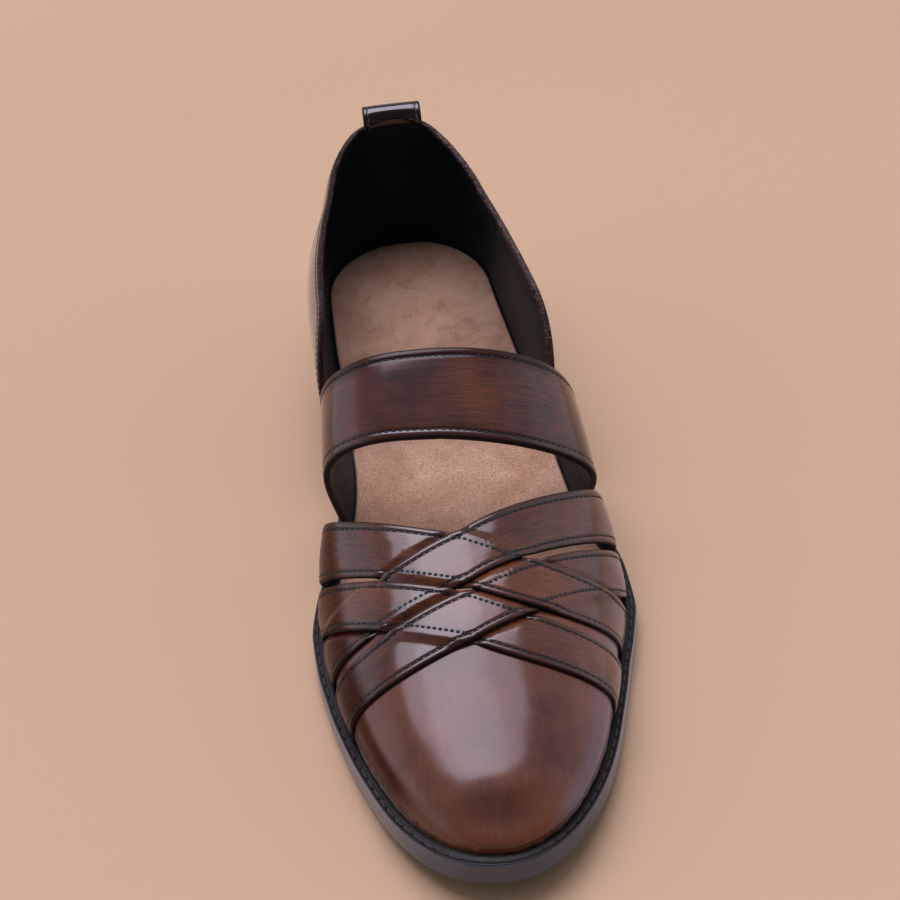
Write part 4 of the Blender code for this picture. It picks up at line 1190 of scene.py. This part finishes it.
def make_quarter(st):
    reach = {}
    for side in (-1, 1):
        d, line, _ = BACK[side]
        reach[side] = float(np.interp(QUARTER_FRONT[side], line[:, 0][:200], d[:200]))
    cm = reach[-1] - QUARTER_ROUND[-1]
    cl = reach[1] - QUARTER_ROUND[1]
    bend = 1 - (1 - np.linspace(0, 1, 60)) ** 2.2
    c = np.concatenate([-(cm + (QUARTER_ROUND[-1] - 0.12) * bend[1:])[::-1], np.linspace(-cm, cl, 260),
                        cl + (QUARTER_ROUND[1] - 0.12) * bend[1:]])
    e = np.array([0, .06, .16, .32, .52, .75, 1.0, 1.3, 1.6, 1.9, 2.15, 2.35, 2.5, 2.65, 2.85, 3.15, 3.7, 4.6, 6.0, 8.0, 11.0, 15.0, 20.0, 26.0, 33.0, 41.0, 48.0]) / 56.0
    f = 1 - np.append(e, 1.0)
    f = np.clip(f, 0, 1)[::-1]
    top = quarter_top(c)
    v = top[:, None] * f[None, :]
    C = np.repeat(c[:, None], len(f), 1)
    base = quarter(C, v)
    nor = normals(base)
    if nor[len(c) // 2, 5, 1] > 0:
        nor = -nor
    # distance to the cut edge, measured over the surface
    cc = np.concatenate([np.linspace(c[0], -cm, 200), np.linspace(-cm, cl, 500), np.linspace(cl, c[-1], 200)])
    tt = quarter_top(cc)
    dist = np.empty(C.shape)
    for j in range(len(f)):
        dd = (C[:, j:j + 1] - cc[None, :]) ** 2 + (v[:, j:j + 1] - tt[None, :]) ** 2
        dist[:, j] = np.sqrt(dd.min(1))
    h = edge_profile(dist, 2.6, 1.3, 0.85, 0.18, 0.08)
    h = h + 0.12 * wave(base, 17.0, 1.7) * ease(dist / 14)
    outer = base + nor * h[..., None]
    turn = np.clip((1.5 - dist) / 1.5, 0, 1)
    thick = UPPER_T + 0.15 - 1.1 * (1 - np.sqrt(1 - turn * turn))
    # the lining puckers softly behind the rim on the outer side of the foot
    run = np.repeat(c[:, None], len(f), 1)
    pucker = ease((run - 25) / 15) * ease((100 - run) / 20) * np.exp(-((dist - 9.0) / 7.0) ** 2)
    thick = thick + pucker * (0.35 * np.sin(run * 0.55 + dist * 0.5) + 0.25 * np.sin(run * 0.23 - dist * 0.9 + 1.0))
    inner = base - nor * thick[..., None]
    for g in (outer, inner):
        g[:, 0, 2] -= 1.4
    d = along(outer[:, len(f) // 2])
    strip = np.stack([np.repeat(d[:, None], len(f), 1), v, dist], -1) * 0.001
    n, k = outer.shape[:2]
    # a pale painted highlight along the rim on the inner side of the foot
    ob = slab("quarter_wall", outer, inner, strip, [BACKS, RIM, LINING, RIM], edge_cols=0, painted_light=-0.6 * np.exp(-((dist - 5.5) / 3.0) ** 2) * ease((-C - 22) / 14), zone=dist < 1.25, zone_in=dist < 1.7)
    finish_piece(ob, "quarter", "heel_counter")
    # stitch line that follows the topline
    cs = np.linspace(c[2], c[-3], 1600)
    ts = quarter_top(cs)
    p2 = np.stack([cs, ts], 1)
    tan = np.gradient(p2, axis=0)
    tan /= np.hypot(tan[:, 0], tan[:, 1])[:, None]
    inw = np.stack([tan[:, 1], -tan[:, 0]], 1)
    p2 = p2 + inw * 2.6
    ok = (p2[:, 1] > 2.5) & (np.abs(p2[:, 0]) > LOOP['width'] / 2 - 0.5)
    for sgn in (-1, 1):
        sel = ok & (np.sign(p2[:, 0]) == sgn)
        q = p2[sel]
        pts = quarter(q[:, 0], q[:, 1])
        pc = quarter(q[:, 0] + 0.3, q[:, 1]) - quarter(q[:, 0] - 0.3, q[:, 1])
        pv = quarter(q[:, 0], q[:, 1] + 0.3) - quarter(q[:, 0], q[:, 1] - 0.3)
        nn = unit(np.cross(pv, pc))
        out = np.stack([back_station(q[:, 0])[3], back_station(q[:, 0])[2], 0 * q[:, 0]], 1)
        nn = nn * np.sign((nn * out).sum(1))[:, None]
        st.line(pts - nn * 0.05, nn, 2.3, 1.8, 0.62, 0.52, skip=1.0)


def make_loop(st):
    half_in = UPPER_T / 2 + GAP + 0.25
    top = LOOP['stand'] - LOOP_T
    r = half_in + LOOP['swell']
    path = [(half_in - 0.3, -LOOP['outer_leg'] * (1 - t)) for t in np.linspace(0, 1, 26)[:-1]]
    path += [(half_in - 0.25 + (r - half_in + 0.25) * ease(t), 0.2 + (top - r - 0.2) * t) for t in np.linspace(0, 1, 6)]
    path += [(r * math.cos(t), top - r + r * math.sin(t)) for t in np.linspace(0, math.pi, 26)]
    # inside, the tongue eases back to the wall and ends in a free edge
    low = LOOP['inner_leg'] - 1.4
    path += [(-r + (r - half_in - 0.2) * ease(t * 1.35), (top - r) - (top - r + low) * t) for t in np.linspace(0.04, 1, 20)]
    p = np.array(path)
    d = np.concatenate([[0], np.cumsum(np.hypot(*np.diff(p, axis=0).T))])
    keep = np.append(True, np.diff(d) > 1e-4)
    p, d = p[keep], d[keep]
    tt = np.linspace(0, d[-1], 96)
    p = np.stack([np.interp(tt, d, p[:, 0]), np.interp(tt, d, p[:, 1])], 1)
    for _ in range(2):
        p[1:-1] = 0.25 * p[:-2] + 0.5 * p[1:-1] + 0.25 * p[2:]
    tang = np.gradient(p, axis=0)
    tang /= np.hypot(tang[:, 0], tang[:, 1])[:, None]
    nrm = np.stack([tang[:, 1], -tang[:, 0]], 1)
    hw = LOOP['width'] / 2
    e = np.array([0, .08, .2, .4, .65, .95, 1.25, 1.5, 1.65, 1.8, 1.95, 2.15, 2.5, 3.2, 4.5, 6.5])
    cs = np.concatenate([-(hw - e), [0.0], (hw - e)[::-1]])
    flat_top = float(quarter_top(0.0))

    def at(c, n, h):
        turn = abs(float(back_station(c)[2])) ** 1.3
        high = float(quarter_top(c))
        level = max(0.0, min(1.0, (h + 4) / 5))
        v = high + (flat_top - high) * level + h
        a = c
        for _ in range(4):
            q = quarter(a, min(v, high), -UPPER_T / 2)
            a += c - q[0]
        straight = max(0.0, min(1.0, h / 6))
        q[1] += straight * (fold - q[1])
        q[1] -= n / turn ** (1 - straight)
        q[2] += v - min(v, high)
        return q
    fold = float(quarter(6.0, float(quarter_top(6.0)), -UPPER_T / 2)[1])
    outer = np.empty((len(p), len(cs), 3))
    inner = np.empty((len(p), len(cs), 3))
    for j, c in enumerate(cs):
        dist = hw - abs(c)
        lift = float(edge_profile(dist, 1.8, 0.9, 0.75, 0.16, 0.05))
        for i in range(len(p)):
            o = p[i] + nrm[i] * (LOOP_T + lift)
            outer[i, j] = at(c, o[0], o[1])
            inner[i, j] = at(c, p[i][0], p[i][1])
    strip = np.empty(outer.shape)
    strip[..., 0] = np.repeat((tt * 0.001)[:, None], len(cs), 1)
    strip[..., 1] = np.repeat((cs * 0.001)[None, :], len(p), 0)
    strip[..., 2] = np.repeat(((hw - np.abs(cs)) * 0.001)[None, :], len(p), 0)
    ob = slab("pull_tab", outer, inner, strip, [TAB, EDGE, LINING, LINING], edge_cols=4, painted_light=0 * strip[..., 0],
              zone=np.repeat((p[:, 0] < 0)[:, None] & (p[:, 1] < 1.2)[:, None], len(cs), 1))
    finish_piece(ob, "strap", "pull_loop")
    nor = normals(outer)
    if nor[48, 16, 2] < 0:
        nor = -nor
    k = list(e).index(1.8)
    for col in (k, len(cs) - 1 - k):
        st.line(outer[1:-1, col], nor[1:-1, col], 2.2, 1.6, 0.42, 0.40, skip=0.8)


def make_lining_edge():
    """the lining's edge, turned over the rim of the insole between the straps' ends"""
    for side, s0, s1, name in ((-1, 112.0, 168.0, "lining_edge_medial"), (1, 120.0, 166.0, "lining_edge_lateral")):
        s = np.linspace(s0, s1, 90)
        fs, fx = foot(s, side)
        t = np.stack([np.gradient(fx), np.gradient(fs)], 1)
        t /= np.hypot(t[:, 0], t[:, 1])[:, None]
        n = np.stack([-t[:, 1], t[:, 0]], 1) * side
        if (n[:, 0] * side).mean() > 0:
            n = -n
        wide = 3.0 if side < 0 else 2.4
        prof = [(-0.4, -0.8), (-0.3, 0.2), (0.1, 0.9), (0.7, 1.35), (wide - 1.1, 1.5), (wide - 0.4, 1.4), (wide - 0.1, 1.1), (wide, 0.6), (wide, 0.1)]
        grid = np.empty((len(s), len(prof), 3))
        fade = ease((s - s0) / 6) * ease((s1 - s) / 6)
        for j, (k, h) in enumerate(prof):
            wob = 0.25 * np.sin(s * 0.9 + j) * 0.4
            grid[:, j, 0] = fx + n[:, 0] * (k + wob * (k > 2))
            grid[:, j, 1] = fs + n[:, 1] * k
            grid[:, j, 2] = seat(fs) + h - (1 - fade) * max(0, h - 1.9)
        inner = grid.copy()
        inner[..., 2] = np.minimum(grid[..., 2] - 0.9, seat(fs)[:, None] + 0.9)
        strip = np.stack([np.repeat(s[:, None], len(prof), 1), np.repeat(np.arange(len(prof))[None, :], len(s), 0), np.full(grid.shape[:2], 9.0)], -1) * 0.001
        ob = slab(name, grid, inner, strip, [LINING, LINING, LINING])
        finish_piece(ob, "welt")


make_outsole()
make_heel()
make_welt()
make_insole()
make_vamp()
stitches = Stitches()
for key in ("L1", "L2", "R1", "R2"):
    make_strap(key, stitches)
make_band(stitches)
make_quarter(stitches)
tab_stitches = Stitches()
make_loop(tab_stitches)
telegraph(stitches)
make_lining_edge()
finish_piece(stitches.mesh("strap_stitches", THREAD), "strap")
finish_piece(tab_stitches.mesh("tab_stitches", THREAD_TAB), "strap")

# =====================================================================================
# floor, light, camera
# =====================================================================================

def make_floor():
    bm = bmesh.new()
    bmesh.ops.create_grid(bm, x_segments=1, y_segments=1, size=3.0)
    me = bpy.data.meshes.new("floor")
    bm.to_mesh(me)
    bm.free()
    ob = bpy.data.objects.new("floor", me)
    scene.collection.objects.link(ob)
    N = Nodes("floor_paper")
    v = N.coords("object")
    a = N.noise(v, 3.0, 2.0)
    far = N.remap(N.math('SUBTRACT', N.part(v, 1), N.math('MULTIPLY', N.part(v, 0), 0.3)), -0.22, 0.32, 1.0, 0.0)
    c = N.mix(far, (0.603, 0.401, 0.254), (0.717, 0.478, 0.304))
    N.colour(N.mix(N.math('MULTIPLY', N.remap(a, 0.3, 0.7), 0.04), c, (0.62, 0.42, 0.29)))
    N.rough(0.9)
    me.materials.append(N.m)


def area(name, loc, target, size, size_y, power, colour=(1, 1, 1), shape='RECTANGLE'):
    l = bpy.data.lights.new(name, 'AREA')
    l.shape = shape
    l.size, l.size_y = size, size_y
    l.energy = power
    l.color = colour
    ob = bpy.data.objects.new(name, l)
    ob.location = loc
    ob.rotation_mode = 'QUATERNION'
    ob.rotation_quaternion = (Vector(target) - Vector(loc)).to_track_quat('-Z', 'Y')
    scene.collection.objects.link(ob)
    return ob


make_floor()
area("top_soft", (-0.30, 0.87, 2.24), (-0.30, 0.87, 0.0), 2.6, 1.96, 37.5, (0.97, 0.92, 1.07), 'ELLIPSE')
area("top_front", (-0.30, 0.80, 2.22), (-0.30, 0.80, 0.0), 1.30, 1.86, 10.5, (0.97, 0.92, 1.07))
area("top_core", (-0.42, 0.60, 2.20), (-0.42, 0.60, 0.0), 1.0, 1.0, 1.6, (0.97, 0.92, 1.07), 'DISK')
area("left_soft", (-1.5, 0.65, 0.66), (0.0, 0.0, 0.1), 1.7, 1.25, 1.5, (0.96, 0.94, 1.0))
area("right_soft", (1.5, 0.2, 1.45), (0.0, 0.0, 0.03), 1.8, 1.0, 1.0, (0.96, 0.94, 1.0))

def soft_room():
    """a pale room: brighter at both sides, darker low down in front of the shoe"""
    w = bpy.data.worlds.new("soft_room")
    scene.world = w
    w.use_nodes = True
    t = w.node_tree
    back = t.nodes["Background"]
    back.inputs["Color"].default_value = (0.92, 0.92, 1.0, 1)
    co = t.nodes.new("ShaderNodeTexCoord")
    xyz = t.nodes.new("ShaderNodeSeparateXYZ")
    t.links.new(co.outputs["Generated"], xyz.inputs[0])

    def band(v, a, b, c, d):
        x = t.nodes.new("ShaderNodeMapRange")
        x.interpolation_type = 'SMOOTHSTEP'
        for k, val in zip(("From Min", "From Max", "To Min", "To Max"), (a, b, c, d)):
            x.inputs[k].default_value = val
        t.links.new(v, x.inputs["Value"])
        return x.outputs["Result"]

    def calc(op, a, b):
        x = t.nodes.new("ShaderNodeMath")
        x.operation = op
        for i, v in enumerate((a, b)):
            if isinstance(v, float):
                x.inputs[i].default_value = v
            else:
                t.links.new(v, x.inputs[i])
        return x.outputs[0]
    x, y, z = xyz.outputs
    low = band(z, 0.50, 0.88, 1.0, 0.0)
    front = calc('MULTIPLY', band(y, -0.42, -0.12, 0.26, 0.0), band(z, 0.94, 0.99, 1.0, 0.0))
    sides = calc('MULTIPLY', band(calc('MULTIPLY', x, x), 0.30, 0.80, 0.0, 0.42), low)
    t.links.new(calc('SUBTRACT', calc('ADD', sides, 0.35), front), back.inputs["Strength"])


soft_room()

# the camera stands where it stood towards the shoe, turned to the shoe's middle
cam_mm = np.array([-26.35, -665.5, 486.2])
cam_loc = Vector(((cam_mm[0] + SHIFT_X) / 1000, (SHIFT_Y + cam_mm[1]) / 1000, cam_mm[2] / 1000))
cam_data = bpy.data.cameras.new("camera")
cam = bpy.data.objects.new("camera", cam_data)
scene.collection.objects.link(cam)
scene.camera = cam
AIM = Vector((0.0, 0.008, 0.034))
ROLL = math.radians(-5.03)
fwd = (AIM - cam_loc).normalized()
right = fwd.cross(Vector((0, 0, 1))).normalized()
up = right.cross(fwd)
right2 = right * math.cos(ROLL) + up * math.sin(ROLL)
up2 = right2.cross(fwd)
cam.matrix_world = Matrix(((right2.x, up2.x, -fwd.x, cam_loc.x), (right2.y, up2.y, -fwd.y, cam_loc.y),
                           (right2.z, up2.z, -fwd.z, cam_loc.z), (0, 0, 0, 1)))
cam_data.sensor_width = 36.0
cam_data.lens = 84.0
cam_data.clip_start, cam_data.clip_end = 0.02, 50

scene.view_settings.view_transform = 'Standard'
scene.view_settings.look = 'None'
scene.view_settings.exposure = 0.0
